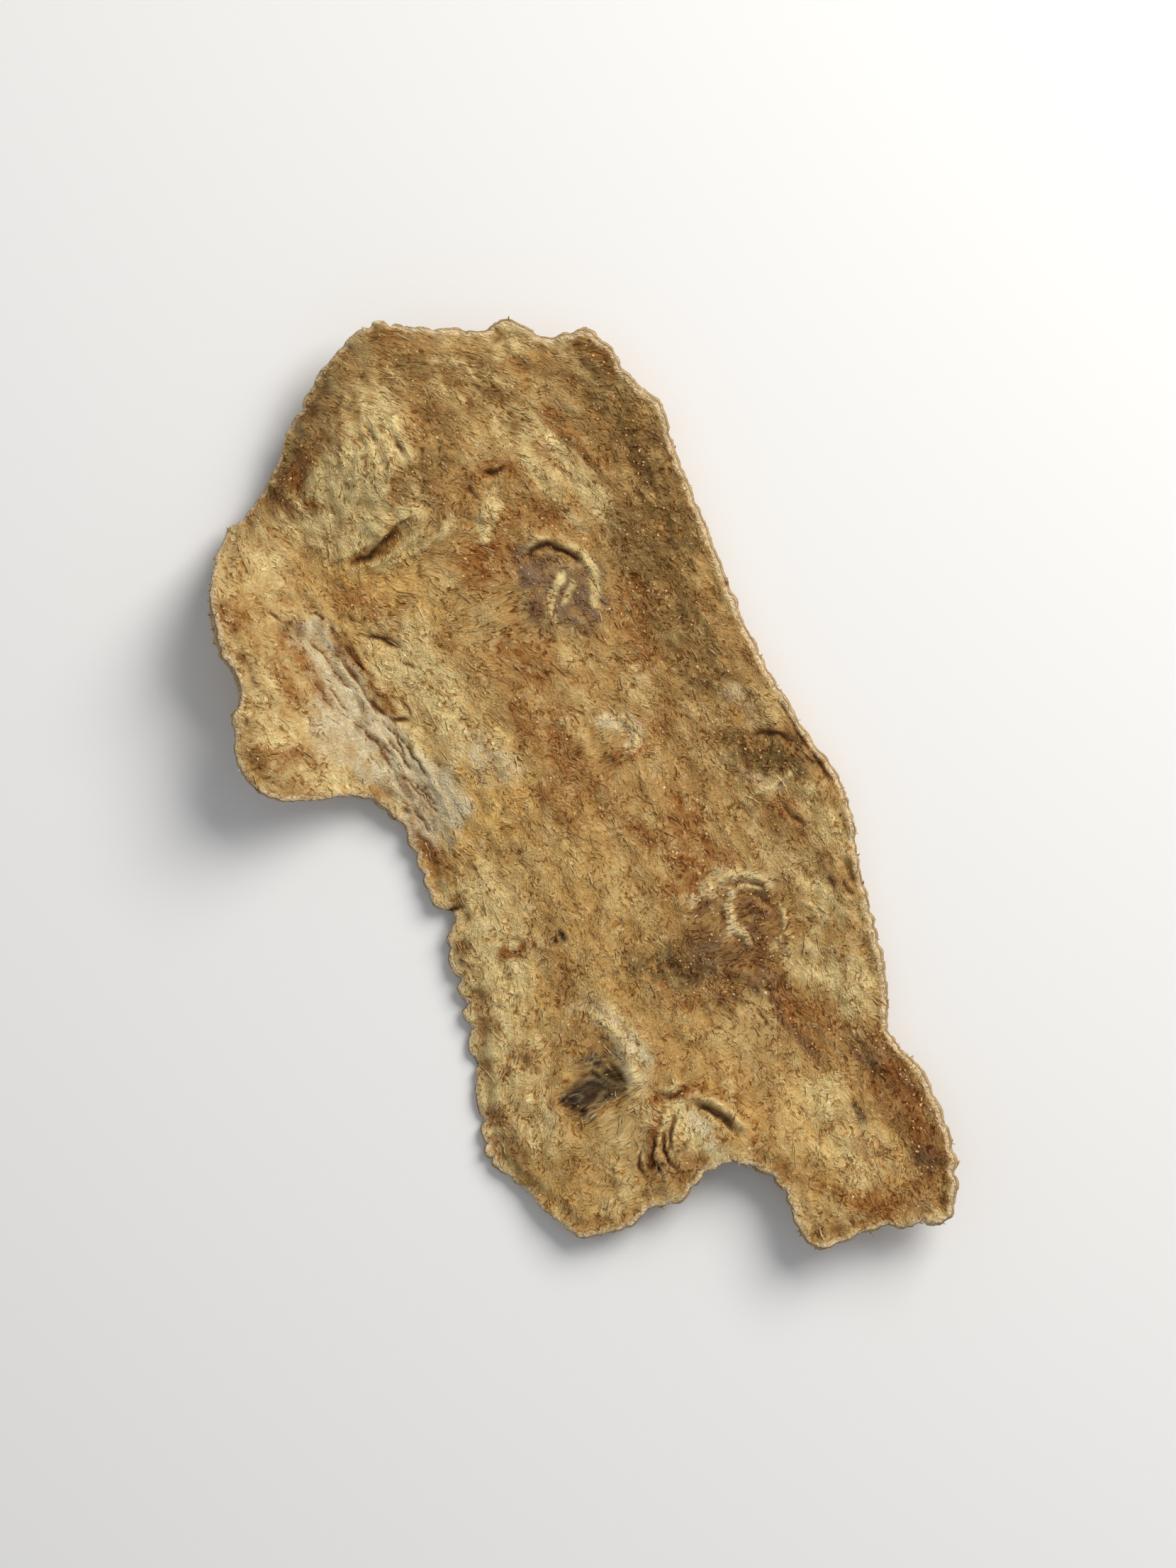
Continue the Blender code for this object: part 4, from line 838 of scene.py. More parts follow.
class SliceEdge:
    """The drawn edge of the slice, which knows how far inside it a place is."""

    def __init__(self):
        marks = [(np.array(p, float), edge.frill, edge.pitch) for edge in EDGES for p in edge.points]
        t = np.arange(CURVE_STEPS) / CURVE_STEPS
        line, frills, phases, phase = [], [], [], 0.0
        for i, (place, frill, pitch) in enumerate(marks):
            around = [marks[(i + k) % len(marks)][0] for k in (-1, 0, 1, 2)]
            turns = np.linalg.norm(around[2] - place) / pitch
            line.append(catmull_rom(*around, t))
            frills.append(frill + (marks[(i + 1) % len(marks)][1] - frill) * t)
            phases.append(phase + turns * t)
            phase += turns
        line, self.frill = np.concatenate(line), np.concatenate(frills)
        self.knob = frill_shape(np.concatenate(phases))
        line = line + outward(line) * (self.frill * self.knob)[:, None]
        steps = np.linalg.norm(np.roll(line, -1, axis=0) - line, axis=1)
        walked = np.concatenate(([0.0], np.cumsum(steps)[:-1]))
        torn = sum(depth * ripple(walked / run, np.full_like(walked, run)) for depth, run in TEARS)
        self.line = line + outward(line) * torn[:, None]
        self.facing = outward(self.line)
        self.tree = kdtree.KDTree(len(line))
        for i, (x, y) in enumerate(self.line):
            self.tree.insert((x, y, 0.0), i)
        self.tree.balance()

    def nearest(self, x, y):
        """(distance inside the edge, number of the nearest edge point) for each place."""
        found = [self.tree.find((a, b, 0.0)) for a, b in zip(x.tolist(), y.tolist())]
        number = np.array([entry[1] for entry in found])
        away = self.line[number] - np.column_stack((x, y))
        inside = np.sign((away * self.facing[number]).sum(axis=1))
        return inside * np.hypot(away[:, 0], away[:, 1]), number

    def evenly(self, step):
        """Points on the edge, about `step` apart."""
        closed = np.vstack((self.line, self.line[:1]))
        walked = np.concatenate(([0.0], np.cumsum(np.linalg.norm(np.diff(closed, axis=0), axis=1))))
        stops = np.linspace(0.0, walked[-1], round(walked[-1] / step), endpoint=False)
        return np.column_stack([np.interp(stops, walked, closed[:, axis]) for axis in (0, 1)])


def reach(form, x, y):
    """Distance from the middle of a round form, such as a knot, as a share of its radius."""
    return np.hypot((x - form.x) / form.across, (y - form.y) / form.along)


def foldedness(x, y):
    """1 on the fold, falling to almost nothing at twice its half width."""
    return bell(distance_to_line(x, y, FOLD) / FOLD_WIDTH)


def grain(x, y):
    """(across, along) the fibres: they fan at both ends and part round each knot."""
    across = x + FAN_SPREAD * np.maximum(0.0, FAN_TOP - y) * share(FAN_RAMP, x)
    spread = np.maximum(0.0, (y - CROWN_FAN_RAMP.start) / CROWN_FAN_RAMP.run) ** 2
    across = across + (x - CROWN_FAN_MIDDLE) * CROWN_FAN * spread
    along = y.copy()
    for knot in KNOTS:
        dx, dy = x - knot.x, y - knot.y
        push = np.minimum(MOST_PARTING, knot.across**2 / (dx * dx + dy * dy + PARTING_SOFTNESS))
        across = across - dx * push
        along = along + dy * push
    return across, along


def wavy_grain(x, y):
    """(across, along) the fibres, with their lean and the small waves that they dried in."""
    wx = x + CROWN_LEAN * (np.hypot(y, CROWN_LEAN_RUN) + y) / 2
    wy = y.copy()
    for lean in LEANS:
        wx += lean.amount * (y - lean.y) * bell(reach(lean, x, y))
    for i, (shift, pitch) in enumerate(FIBRE_WAVES):
        wx += shift * ripple(x / pitch, y / pitch, FIBRE_WAVE_SEEDS[0] + i)
        wy += shift * ripple(x / pitch, y / pitch, FIBRE_WAVE_SEEDS[1] + i)
    return grain(wx, wy)


def bend(x, y):
    """The height of the sheet's middle surface before it is laid down."""
    z = CROWN_CURL * (np.maximum(0.0, y - FLAT_MIDDLE) / CURL_RUN) ** 2
    z += TIP_CURL * (np.maximum(0.0, -y - FLAT_MIDDLE) / CURL_RUN) ** 2
    z += SPINE_RISE * bell(x / SPINE_WIDTH)
    z += BARK_EDGE_CURL * share(BARK_EDGE_RAMP, x)
    z += FLAP_LIFT * share(FLAP_RAMP, x) * share(FLAP_FOOT_RAMP, y) * share(FLAP_HEAD_RAMP, y)
    z -= KNOBBLY_EDGE_DROOP * share(KNOBBLY_EDGE_RAMP, x) * share(KNOBBLY_HEAD_RAMP, y)
    to_shoulder = SHOULDER_FACING[0] * x + SHOULDER_FACING[1] * y
    z -= SHOULDER_DROOP * share(SHOULDER_RAMP, to_shoulder) * share(SHOULDER_FOOT_RAMP, y)
    for swell in SWELLS:
        z += swell.lift * bell(reach(swell, x, y))
    z -= FOLD_DEPTH * foldedness(x, y)
    z += WAVE_HEIGHT * ripple(x / WAVE_LENGTH, y / WAVE_LENGTH, WAVE_SEED)
    return z


def foot_plane():
    """The plane through the sheet at its three feet: height at 0, slope in x, slope in y."""
    feet = np.array(FEET)
    corners = np.column_stack((np.ones(len(feet)), feet))
    return np.linalg.solve(corners, bend(feet[:, 0], feet[:, 1]))


def middle_surface(x, y):
    """(points, normals) of the sheet's middle surface, laid down on its feet."""
    height, slope_x, slope_y = foot_plane()
    z = bend(x, y) - height - slope_x * x - slope_y * y + THICKNESS / 2 - FOOT_PRESS
    rise_x = (bend(x + SLOPE_STEP, y) - bend(x - SLOPE_STEP, y)) / (2 * SLOPE_STEP) - slope_x
    rise_y = (bend(x, y + SLOPE_STEP) - bend(x, y - SLOPE_STEP)) / (2 * SLOPE_STEP) - slope_y
    normals = np.column_stack((-rise_x, -rise_y, np.ones_like(x)))
    normals /= np.linalg.norm(normals, axis=1, keepdims=True)
    return np.column_stack((x, y, z)), normals


def fibre_run(x, y, normals):
    """The direction of the fibres at each place, along the bent sheet."""
    ahead, behind = wavy_grain(x + SLOPE_STEP, y)[0], wavy_grain(x - SLOPE_STEP, y)[0]
    above, below = wavy_grain(x, y + SLOPE_STEP)[0], wavy_grain(x, y - SLOPE_STEP)[0]
    run = np.column_stack((below - above, ahead - behind, np.zeros_like(x)))
    run -= normals * (run * normals).sum(axis=1, keepdims=True)
    return run / np.linalg.norm(run, axis=1, keepdims=True)


def main_relief(x, y, top):
    """The forms that the solid has too: coarse fibres, the crumpled fold, knots and splits."""
    across, along = grain(x, y)
    side = 0.0 if top else UNDERSIDE_SEED
    height = FIBRE_HEIGHT * ripple(across / FIBRE_PITCH, along / FIBRE_RUN, side)
    crumple = ripple(x / CRUMPLE_PITCH, y / CRUMPLE_RUN, side + CRUMPLE_SEED)
    height += CRUMPLE_HEIGHT * crumple * foldedness(x, y)
    if not top:
        return height
    for knot in KNOTS + SMALL_KNOTS:
        away = reach(knot, x, y)
        height += knot.ring * bell((away - 1.0) / RING_WIDTH)
        height -= knot.bowl * bell((away / BOWL_WIDTH) ** 2)
        height += knot.core * bell(away / CORE_WIDTH)
    for line in LINES:
        height += line.lift * bell(distance_to_line(x, y, line.points) / line.width)
    return height


def fine_relief(x, y, top):
    """Fine fibres and lumps, and the sharp little ridges of the fold."""
    across, along = wavy_grain(x, y)
    seed = FINE_SEED if top else UNDERSIDE_SEED + FINE_SEED
    height = np.zeros_like(x)
    for i, (lift, pitch, run) in enumerate(FINE_FIBRES):
        height += lift * ripple(across / pitch, along / run, seed + i)
    for i, (lift, pitch) in enumerate(LUMPS):
        height += lift * ripple(x / pitch, y / pitch, seed + LUMP_SEED + i)
    ridge = np.abs(ripple(x / RIDGE_PITCH, y / RIDGE_RUN, seed + RIDGE_SEED))
    sharp = RIDGE_CREST - RIDGE_STEEPNESS * ridge
    return height + RIDGE_HEIGHT * sharp * foldedness(x, y)


def wandering(x, y):
    """The places shifted a little from where they are, so that a line through them wavers."""
    across, along = x / SPLIT_WANDER_PITCH, y / SPLIT_WANDER_PITCH
    shift_x, shift_y = (SPLIT_WANDER * ripple(across, along, seed) for seed in SPLIT_WANDER_SEEDS)
    return x + shift_x, y + shift_y


def split_relief(x, y):
    """(height, darkness) of the named thin splits and of the painted shadow lines among them."""
    wx, wy = wandering(x, y)
    height, dark = np.zeros_like(x), np.zeros_like(x)
    for line in SPLITS:
        closeness = line_closeness(wx, wy, line)
        height += line.lift * closeness
        dark = np.maximum(dark, closeness * min(1.0, -line.lift / DARK_SPLIT))
    return height, dark


def thread_relief(x, y):
    """(height, paleness) of the named raised fibres."""
    wx, wy = wandering(x, y)
    height, pale = np.zeros_like(x), np.zeros_like(x)
    for line in THREADS:
        closeness = line_closeness(wx, wy, line) ** THREAD_SHARPNESS
        height = np.maximum(height, line.lift * closeness)
        pale = np.maximum(pale, closeness)
    return height, pale


def small_marks(x, y, seed):
    """(height, darkness) of the short cracks and the pores, which lie along the fibres."""
    rng = np.random.default_rng(seed)
    height, dark = np.zeros_like(x), np.zeros_like(x)
    normals = np.tile((0.0, 0.0, 1.0), (len(x), 1))
    starts = rng.choice(len(x), CRACK_COUNT + PORE_COUNT, replace=False)
    runs = fibre_run(x[starts], y[starts], normals[starts])
    wx, wy = wandering(x, y)
    for start, run in zip(starts[:CRACK_COUNT], runs):
        half = rng.uniform(*CRACK_LENGTHS) / 2 * run[:2]
        middle = np.array((x[start], y[start]))
        width, strength = rng.uniform(*CRACK_WIDTHS), rng.uniform(*CRACK_STRENGTHS)
        closeness = bell(distance_to_line(wx, wy, (middle - half, middle + half)) / width)
        height -= CRACK_DEPTH * strength * closeness
        dark = np.maximum(dark, strength * closeness)
    for start in starts[CRACK_COUNT:]:
        radius, strength = rng.uniform(*PORE_RADII), rng.uniform(*PORE_STRENGTHS)
        closeness = bell(np.hypot(wx - x[start], wy - y[start]) / radius)
        height -= PORE_DEPTH * strength * closeness
        dark = np.maximum(dark, PORE_DARKNESS * strength * closeness)
    return height, dark


def rim_relief(edge, inside, number):
    """The lip and groove along the edge, and the knobs that stand up from its frills."""
    fast, slow = LIP_RATES
    wander = LIP_EVENNESS + ripple(inside + number * fast, number * slow, LIP_SEED)
    height = LIP_HEIGHT * wander * bell((inside - LIP_INSET) / LIP_WIDTH)
    height -= GROOVE_DEPTH * wander * bell((inside - GROOVE_INSET) / GROOVE_WIDTH)
    knob = edge.frill[number] * edge.knob[number]
    return height + KNOB_RELIEF * knob * bell(inside / KNOB_REACH)


def painted(x, y, top):
    """The colour that the stains and the painted shade of the holes give each place, with ragged edges
    along the fibres.
    """
    across, along = grain(x, y)
    seed = STAIN_SEED if top else UNDERSIDE_SEED + STAIN_SEED
    shift_x, shift_y = (
        sum(shift * ripple(x / pitch, y / pitch, first + pitch) for shift, pitch in STAIN_WARPS)
        for first in (seed, seed + STAIN_WARP_SEED)
    )
    colour = mottled(across, along, seed + MOTTLE_SEED)
    for i, stain_and_shading in enumerate(STAINS if top else UNDER_STAINS):
        drift = min(1.0, stain_and_shading.width / STAIN_FULL_DRIFT)
        away = distance_to_line(x + drift * shift_x, y + drift * shift_y, stain_and_shading.points)
        amount = stain_and_shading.strength * stain_share(away / stain_and_shading.width)
        layer = seed + STAIN_GRAIN_SEED + STAIN_SEED_STEP * i
        ragged = ripple(across / STAIN_GRAIN[0], along / STAIN_GRAIN[1], layer)
        colour = mixed(colour, stain_and_shading.colour, np.clip(amount * (1.0 + STAIN_BREAKUP * ragged), 0.0, 1.0))
    return colour


def mottled(across, along, seed):
    """Plain flesh with cream and rusty patches of all sizes."""
    (wide, long), (fine_wide, fine_long) = MOTTLE_SIZES
    broad = ripple(across / wide, along / long, seed)
    fine = ripple(across / fine_wide, along / fine_long, seed + 1.0)
    other = ripple(across / fine_wide, along / fine_long, seed + 2.0)
    cream = CREAM_MOTTLE * smooth((broad + MOTTLE_FINENESS * fine) / MOTTLE_SOFTNESS)
    rust = RUST_MOTTLE * smooth((MOTTLE_FINENESS * other - broad) / MOTTLE_SOFTNESS)
    return mixed(mixed(np.array(FLESH), CREAM, cream), RUST, rust)


def nearness(x, y, colours, top):
    """How much of the stains of some colours lies at each place, from 0 to 1."""
    total = np.zeros_like(x)
    for stain_and_shading in STAINS if top else UNDER_STAINS:
        if stain_and_shading.colour in colours:
            total += stain_and_shading.strength * bell(distance_to_line(x, y, stain_and_shading.points) / stain_and_shading.width)
    return np.clip(total, 0.0, 1.0)


def clearance(points):
    """0 close above the table, 1 where loose fibres have room under them."""
    return smooth((points[:, 2] - FLOOR_GAP) / FLOOR_GAP)


class Skin:
    """One face of the slice, as arrays with a row for each of its points."""

    def __init__(self, edge, flat, top):
        self.edge, self.top = edge, top
        self.x, self.y = flat[:, 0], flat[:, 1]
        inside, self.number = edge.nearest(self.x, self.y)
        self.inside = np.maximum(inside, 0.0)
        self.shape()
        self.paint()
        self.strew()

    def shape(self):
        """Places the points: the bent sheet, its thickness and its relief."""
        x, y, top = self.x, self.y, self.top
        middle, normals = middle_surface(x, y)
        self.run = fibre_run(x, y, normals)
        self.fine = fine_relief(x, y, top)
        marks, self.dark = small_marks(x, y, MARK_SEED if top else MARK_SEED + 1)
        height = main_relief(x, y, top) + self.fine + marks
        height += rim_relief(self.edge, self.inside, self.number)
        self.pale = np.zeros_like(x)
        if top:
            split, split_dark = split_relief(x, y)
            thread, self.pale = thread_relief(x, y)
            height += split + thread
            self.dark = np.maximum(self.dark, split_dark)
        height = np.where(height < 0.0, DEEPEST * np.tanh(height / DEEPEST), height)
        settle = smooth(self.inside / THIN_BAND)
        half = THICKNESS / 2 * (1.0 - EDGE_THINNING * (1.0 - settle))
        facing = normals if top else -normals
        self.points = middle + facing * (half + height)[:, None]
        if not top:
            self.lay_down()

    def lay_down(self):
        """Presses the underside flat on its three feet."""
        away = np.min([np.hypot(self.x - a, self.y - b) for a, b in FEET], axis=0)
        free = smooth((away - FOOT_FLAT) / FOOT_BLEND)
        self.points[:, 2] = np.maximum(self.points[:, 2], 0.0) * free

    def near(self, *colours):
        """How much of the stains of some colours lies at each point, from 0 to 1."""
        return nearness(self.x, self.y, colours, self.top)

    def paint(self):
        """Gives the points their colour, and what the finish has to know about them."""
        # Painted light and shade from the fine relief: raised places lighter, hollows darker.
        tone = np.clip(RELIEF_SHADING * self.fine, -RELIEF_SHADING_LIMIT, RELIEF_SHADING_LIMIT)
        colour = painted(self.x, self.y, self.top) * (1.0 + np.outer(tone, RELIEF_SHADING_TINT))
        self.clean = self.near(CHALK)
        thread_colour = np.array(CREAM) + np.outer(self.clean, np.array(MILK) - np.array(CREAM))
        paleness = THREAD_PALENESS - THREAD_SHADING * self.near(UMBER, HOLE_SHADE)
        colour = mixed(colour, thread_colour, self.pale * paleness)
        # Knobs painted lighter towards cream as painted highlight, clefts painted rusty as painted shade.
        knob = self.edge.frill[self.number] * self.edge.knob[self.number]
        knob = KNOB_LIGHT_AND_SHADE * knob * bell(self.inside / KNOB_LIGHT_AND_SHADE_REACH)
        colour = mixed(colour, CREAM, np.clip(knob, 0.0, MOST_KNOB_LIGHT_AND_SHADE))
        self.stain_and_shading = mixed(colour, RUST, np.clip(-knob, 0.0, MOST_KNOB_LIGHT_AND_SHADE))
        # Painted shade in the groove inside the rim, in patches, carried with the dark cracks.
        groove_shade = bell((self.inside - GROOVE_INSET) / GROOVE_WIDTH)
        groove_shade *= np.clip(patchiness(self.x, self.y, GROOVE_SHADE_PATCHES), 0.0, 1.0)
        self.dark = np.maximum(self.dark, GROOVE_SHADE * groove_shade)
        # The pale rim: partly the flesh's own colour, partly painted highlight along the raised lip.
        self.rim = bell(self.inside / PALE_RIM_WIDTH)
        self.flecks = self.near(RUST, PURPLE, OLIVE)
        self.dull = self.near(PURPLE, OLIVE, ASH, UMBER)
        side = np.full_like(self.x, 0.0 if self.top else UNDERSIDE_GRAIN)
        self.grain = np.column_stack((*wavy_grain(self.x, self.y), side))

    def strew(self):
        """How thickly fibres and sap lie on the points, and which way the rim's fibres point."""
        self.felt = FELT_LEAST + FELT_ON_PALE * self.near(CREAM, CHALK, AMBER)
        self.felt += FELT_ON_UMBER * self.near(UMBER)
        self.felt *= smooth(self.inside / FELT_INSET)
        # Fewer loose fibres lie on the painted shade of the holes.
        self.felt *= 1.0 - FELT_OFF_HOLE_SHADE * self.near(HOLE_SHADE)
        patches = smooth(patchiness(self.x, self.y, SAP_PATCHES))
        self.sap = self.flecks * (SAP_LEAST + (1.0 - SAP_LEAST) * patches)
        self.sap *= smooth(self.inside / SAP_INSET)
        self.fray = bell(self.inside / FRAY_WIDTH) * smooth(patchiness(self.x, self.y, FRAY_PATCHES))
        out = np.column_stack((self.edge.facing[self.number], np.zeros_like(self.x)))
        loose = out + FRAY_SLANT * self.run
        self.loose = loose / np.linalg.norm(loose, axis=1, keepdims=True)
        clear = clearance(self.points)
        self.felt, self.fray, self.sap = self.felt * clear, self.fray * clear, self.sap * clear


def lattice(edge, pitch, detail_pitch=None):
    """Flat points over the slice in a triangular pattern, finer round its features."""
    rng = np.random.default_rng(LATTICE_SEED)
    row_height = pitch * math.sqrt(3) / 2
    columns, rows = int(LATTICE_REACH[0] / pitch), int(LATTICE_REACH[1] / row_height)
    column, row = np.meshgrid(np.arange(-columns, columns + 1), np.arange(-rows, rows + 1))
    x = ((column + 0.5 * (row % 2)) * pitch).ravel()
    y = (row * row_height).ravel()
    x = x + rng.uniform(-JITTER, JITTER, x.shape) * pitch
    y = y + rng.uniform(-JITTER, JITTER, y.shape) * pitch
    inside, _ = edge.nearest(x, y)
    keep = inside > EDGE_CLEARANCE
    if detail_pitch:
        keep &= ~has_detail(x, y)
    points = np.column_stack((x, y))[keep]
    if not detail_pitch:
        return points
    fine = lattice(edge, detail_pitch)
    return np.vstack((points, fine[has_detail(fine[:, 0], fine[:, 1])]))


def has_detail(x, y):
    """Whether a feature that needs the finer pitch lies close to each place."""
    near = distance_to_line(x, y, FOLD) < FOLD_WIDTH
    for knot in KNOTS + SMALL_KNOTS:
        near |= reach(knot, x, y) < DETAIL_REACH
    for line in LINES + SPLITS + THREADS:
        near |= distance_to_line(x, y, line.points) < LINE_DETAIL_REACH
    return near


def triangulated(rim, interior):
    """(points, triangles, where each rim point is) of a flat face with the given rim."""
    flat = [Vector(p) for p in np.vstack((rim, interior))]
    inside_only = 1
    made = geometry.delaunay_2d_cdt(flat, [], [list(range(len(rim)))], inside_only, MERGE_DISTANCE)
    points = np.array([tuple(p) for p in made[0]])
    places = {source: i for i, sources in enumerate(made[3]) for source in sources}
    triangles = np.array(made[2])
    a, b, c = (points[triangles[:, k]] for k in range(3))
    turn = (b[:, 0] - a[:, 0]) * (c[:, 1] - a[:, 1]) - (b[:, 1] - a[:, 1]) * (c[:, 0] - a[:, 0])
    triangles[turn < 0] = triangles[turn < 0][:, ::-1]
    return points, triangles, np.array([places[i] for i in range(len(rim))])


def rim_rows(top, under, top_rim, under_rim, flat_rim):
    """The rounded, torn side of the slice, as rows of points between its two faces."""
    out = outward(flat_rim)
    ahead, behind = np.roll(flat_rim, -BULGE_SPAN, axis=0), np.roll(flat_rim, BULGE_SPAN, axis=0)
    convex = ((flat_rim - (ahead + behind) / 2) * out).sum(axis=1)
    bulge = CLEFT_BULGE + (RIM_BULGE - CLEFT_BULGE) * smooth(0.5 + convex / BULGE_CURVE)
    out = np.column_stack((out, np.zeros(len(out))))
    high, low = top.points[top_rim], under.points[under_rim]
    walked = np.arange(len(flat_rim)) * RIM_STEP
    rows = []
    for k in range(1, RIM_ROWS):
        turn = k / RIM_ROWS
        round_out = math.sin(math.pi * turn)
        around = np.full_like(walked, turn / RIM_GRIT[1])
        grit = RIM_ROUGHNESS * ripple(walked / RIM_GRIT[0], around, RIM_GRIT_SEED)
        between = high + (low - high) * (0.5 - 0.5 * math.cos(math.pi * turn))
        rows.append(between + out * ((bulge + grit) * round_out)[:, None])
    return rows


def fitted(points):
    """The points in metres, with their box fitted to the solid's."""
    low, high = (np.array(corner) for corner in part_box(SLICE_NODE))
    least, most = points.min(axis=0), points.max(axis=0)
    return low + (points - least) / (most - least) * (high - low)


def slice_mesh():
    """The whole skin of the slice as one closed mesh, with what its finish needs on its points."""
    edge = SliceEdge()
    rim = edge.evenly(RIM_STEP)
    top_flat, top_faces, top_rim = triangulated(rim, lattice(edge, TOP_PITCH, DETAIL_PITCH))
    under_flat, under_faces, under_rim = triangulated(rim, lattice(edge, UNDER_PITCH))
    top, under = Skin(edge, top_flat, True), Skin(edge, under_flat, False)
    rows = rim_rows(top, under, top_rim, under_rim, rim)
    points = np.vstack([top.points, under.points] + rows)
    first_under = len(top.points)
    first_row = first_under + len(under.points)
    faces = [top_faces, under_faces[:, ::-1] + first_under]
    chains = [top_rim]
    chains += [first_row + k * len(rim) + np.arange(len(rim)) for k in range(len(rows))]
    chains += [under_rim + first_under]
    for upper, lower in zip(chains, chains[1:]):
        upper_next, lower_next = np.roll(upper, -1), np.roll(lower, -1)
        faces.append(np.column_stack((upper, upper_next, lower_next)))
        faces.append(np.column_stack((upper, lower_next, lower)))
    mesh = bpy.data.meshes.new("root_slice_skin")
    mesh.from_pydata(fitted(points).tolist(), [], np.vstack(faces).tolist())
    mesh.shade_smooth()
    describe(mesh, top, under, top_rim, rows, rim)
    return mesh


def describe(mesh, top, under, top_rim, rows, rim):
    """Writes the fibres' course, the colours and the marks onto the mesh's points."""
    along = np.arange(len(rim)) * RIM_STEP
    side_grain = [
        np.column_stack((along, np.full_like(along, k * RIM_GRAIN_STEP), np.full_like(along, RIM_GRAIN)))
        for k in range(len(rows))
    ]
    put(mesh, "grain", [top.grain, under.grain] + side_grain)
    for name in VECTOR_MARKS + PLAIN_MARKS + LOOSE_MARKS:
        upper = getattr(top, name)
        sides = [upper[top_rim] * (clearance(row) if name in LOOSE_MARKS else 1.0) for row in rows]
        put(mesh, name, [upper, getattr(under, name)] + sides)
    put(mesh, "bark", [np.zeros(len(top.points) + len(under.points)), np.ones(len(rim) * len(rows))])


def put(mesh, name, stretches):
    """Stores a number or a vector for each point of a mesh, given in stretches of points."""
    values = np.concatenate(stretches).astype(np.float32)
    kind, field = ("FLOAT_VECTOR", "vector") if values.ndim == 2 else ("FLOAT", "value")
    mesh.attributes.new(name, kind, "POINT").data.foreach_set(field, values.ravel())


def placed(name, data):
    """A new object in the scene, made from a mesh, a lamp or a camera."""
    made = bpy.data.objects.new(name, data)
    bpy.context.scene.collection.objects.link(made)
    return made


def feed(tree, socket, value):
    """Links a socket to another one, or sets it to a value; a colour is given without alpha."""
    if isinstance(value, bpy.types.NodeSocket):
        tree.links.new(value, socket)
    elif socket.type == "RGBA":
        socket.default_value = (*value, 1.0)
    else:
        socket.default_value = value


def add(tree, kind, fed=None, **settings):
    """Adds a node to a tree with its settings, and feeds its inputs from values or sockets."""
    node = tree.nodes.new(kind)
    for name, value in settings.items():
        setattr(node, name, value)
    for key, value in (fed or {}).items():
        feed(tree, node.inputs[key], value)
    return node


def maths(tree, operation, first, second=0.0):
    """The result of a sum on one or two numbers or sockets."""
    return add(tree, "ShaderNodeMath", {0: first, 1: second}, operation=operation).outputs[0]


def plus(tree, first, second):
    """Two numbers added."""
    return maths(tree, "ADD", first, second)


def times(tree, first, second):
    """Two numbers multiplied."""
    return maths(tree, "MULTIPLY", first, second)


def off_middle(tree, noise_value):
    """How far a noise value lies from its middle."""
    return maths(tree, "SUBTRACT", noise_value, NOISE_MIDDLE)


def gated(tree, value, gate):
    """A value moved from a gate's range to its results, and held between them."""
    sizes = {"From Min": gate.low, "From Max": gate.high, "To Min": gate.at_low, "To Max": gate.at_high}
    return add(tree, "ShaderNodeMapRange", {"Value": value, **sizes}).outputs[0]


def blended(tree, amount, first, second, blend="MIX"):
    """Two colours mixed by an amount."""
    node = add(tree, "ShaderNodeMix", data_type="RGBA", blend_type=blend, clamp_factor=True)
    factor, colour_a, colour_b = node.inputs[0], node.inputs[6], node.inputs[7]
    feed(tree, factor, amount)
    feed(tree, colour_a, first)
    feed(tree, colour_b, second)
    return node.outputs[2]


def tinted(tree, colour, tint):
    """A colour multiplied by a tint."""
    return add(tree, "ShaderNodeVectorMath", {0: colour, 1: tint}, operation="MULTIPLY").outputs[0]


def attribute(tree, name, output="Fac"):
    """What the mesh's points hold under a name."""
    return add(tree, "ShaderNodeAttribute", attribute_name=name).outputs[output]


def cloud(tree, where, kind):
    """Noise from 0 to 1 in the units of `where`."""
    scale = tuple(1.0 / size for size in (*kind.sizes, 1.0))
    mapping = {"Vector": where, "Scale": scale, "Location": (kind.seed, kind.seed, 0.0)}
    moved = add(tree, "ShaderNodeMapping", mapping)
    texture = {"Vector": moved.outputs[0], "Scale": 1.0, "Detail": kind.detail, "Roughness": kind.roughness}
    return add(tree, "ShaderNodeTexNoise", texture).outputs[0]


def new_finish(name):
    """(material, its node tree)."""
    material = bpy.data.materials.new(name)
    material.use_nodes = True
    return material, material.node_tree


def coat(tree, **qualities):
    """Sets the shader's qualities, such as its Base_Color, from values or sockets."""
    shader = tree.nodes["Principled BSDF"]
    for quality, value in qualities.items():
        feed(tree, shader.inputs[quality.replace("_", " ")], value)


def eddied(tree, course):
    """The fibres' course with small eddies in it."""
    eddy = add(tree, "ShaderNodeTexNoise", {"Vector": course, "Scale": EDDY_RATE, "Detail": 1.0})
    parts = {0: eddy.outputs["Color"], 1: (NOISE_MIDDLE,) * 3}
    centred = add(tree, "ShaderNodeVectorMath", parts, operation="SUBTRACT").outputs[0]
    sized = add(tree, "ShaderNodeVectorMath", {0: centred, "Scale": EDDY_REACH}, operation="SCALE")
    return add(tree, "ShaderNodeVectorMath", {0: course, 1: sized.outputs[0]}).outputs[0]


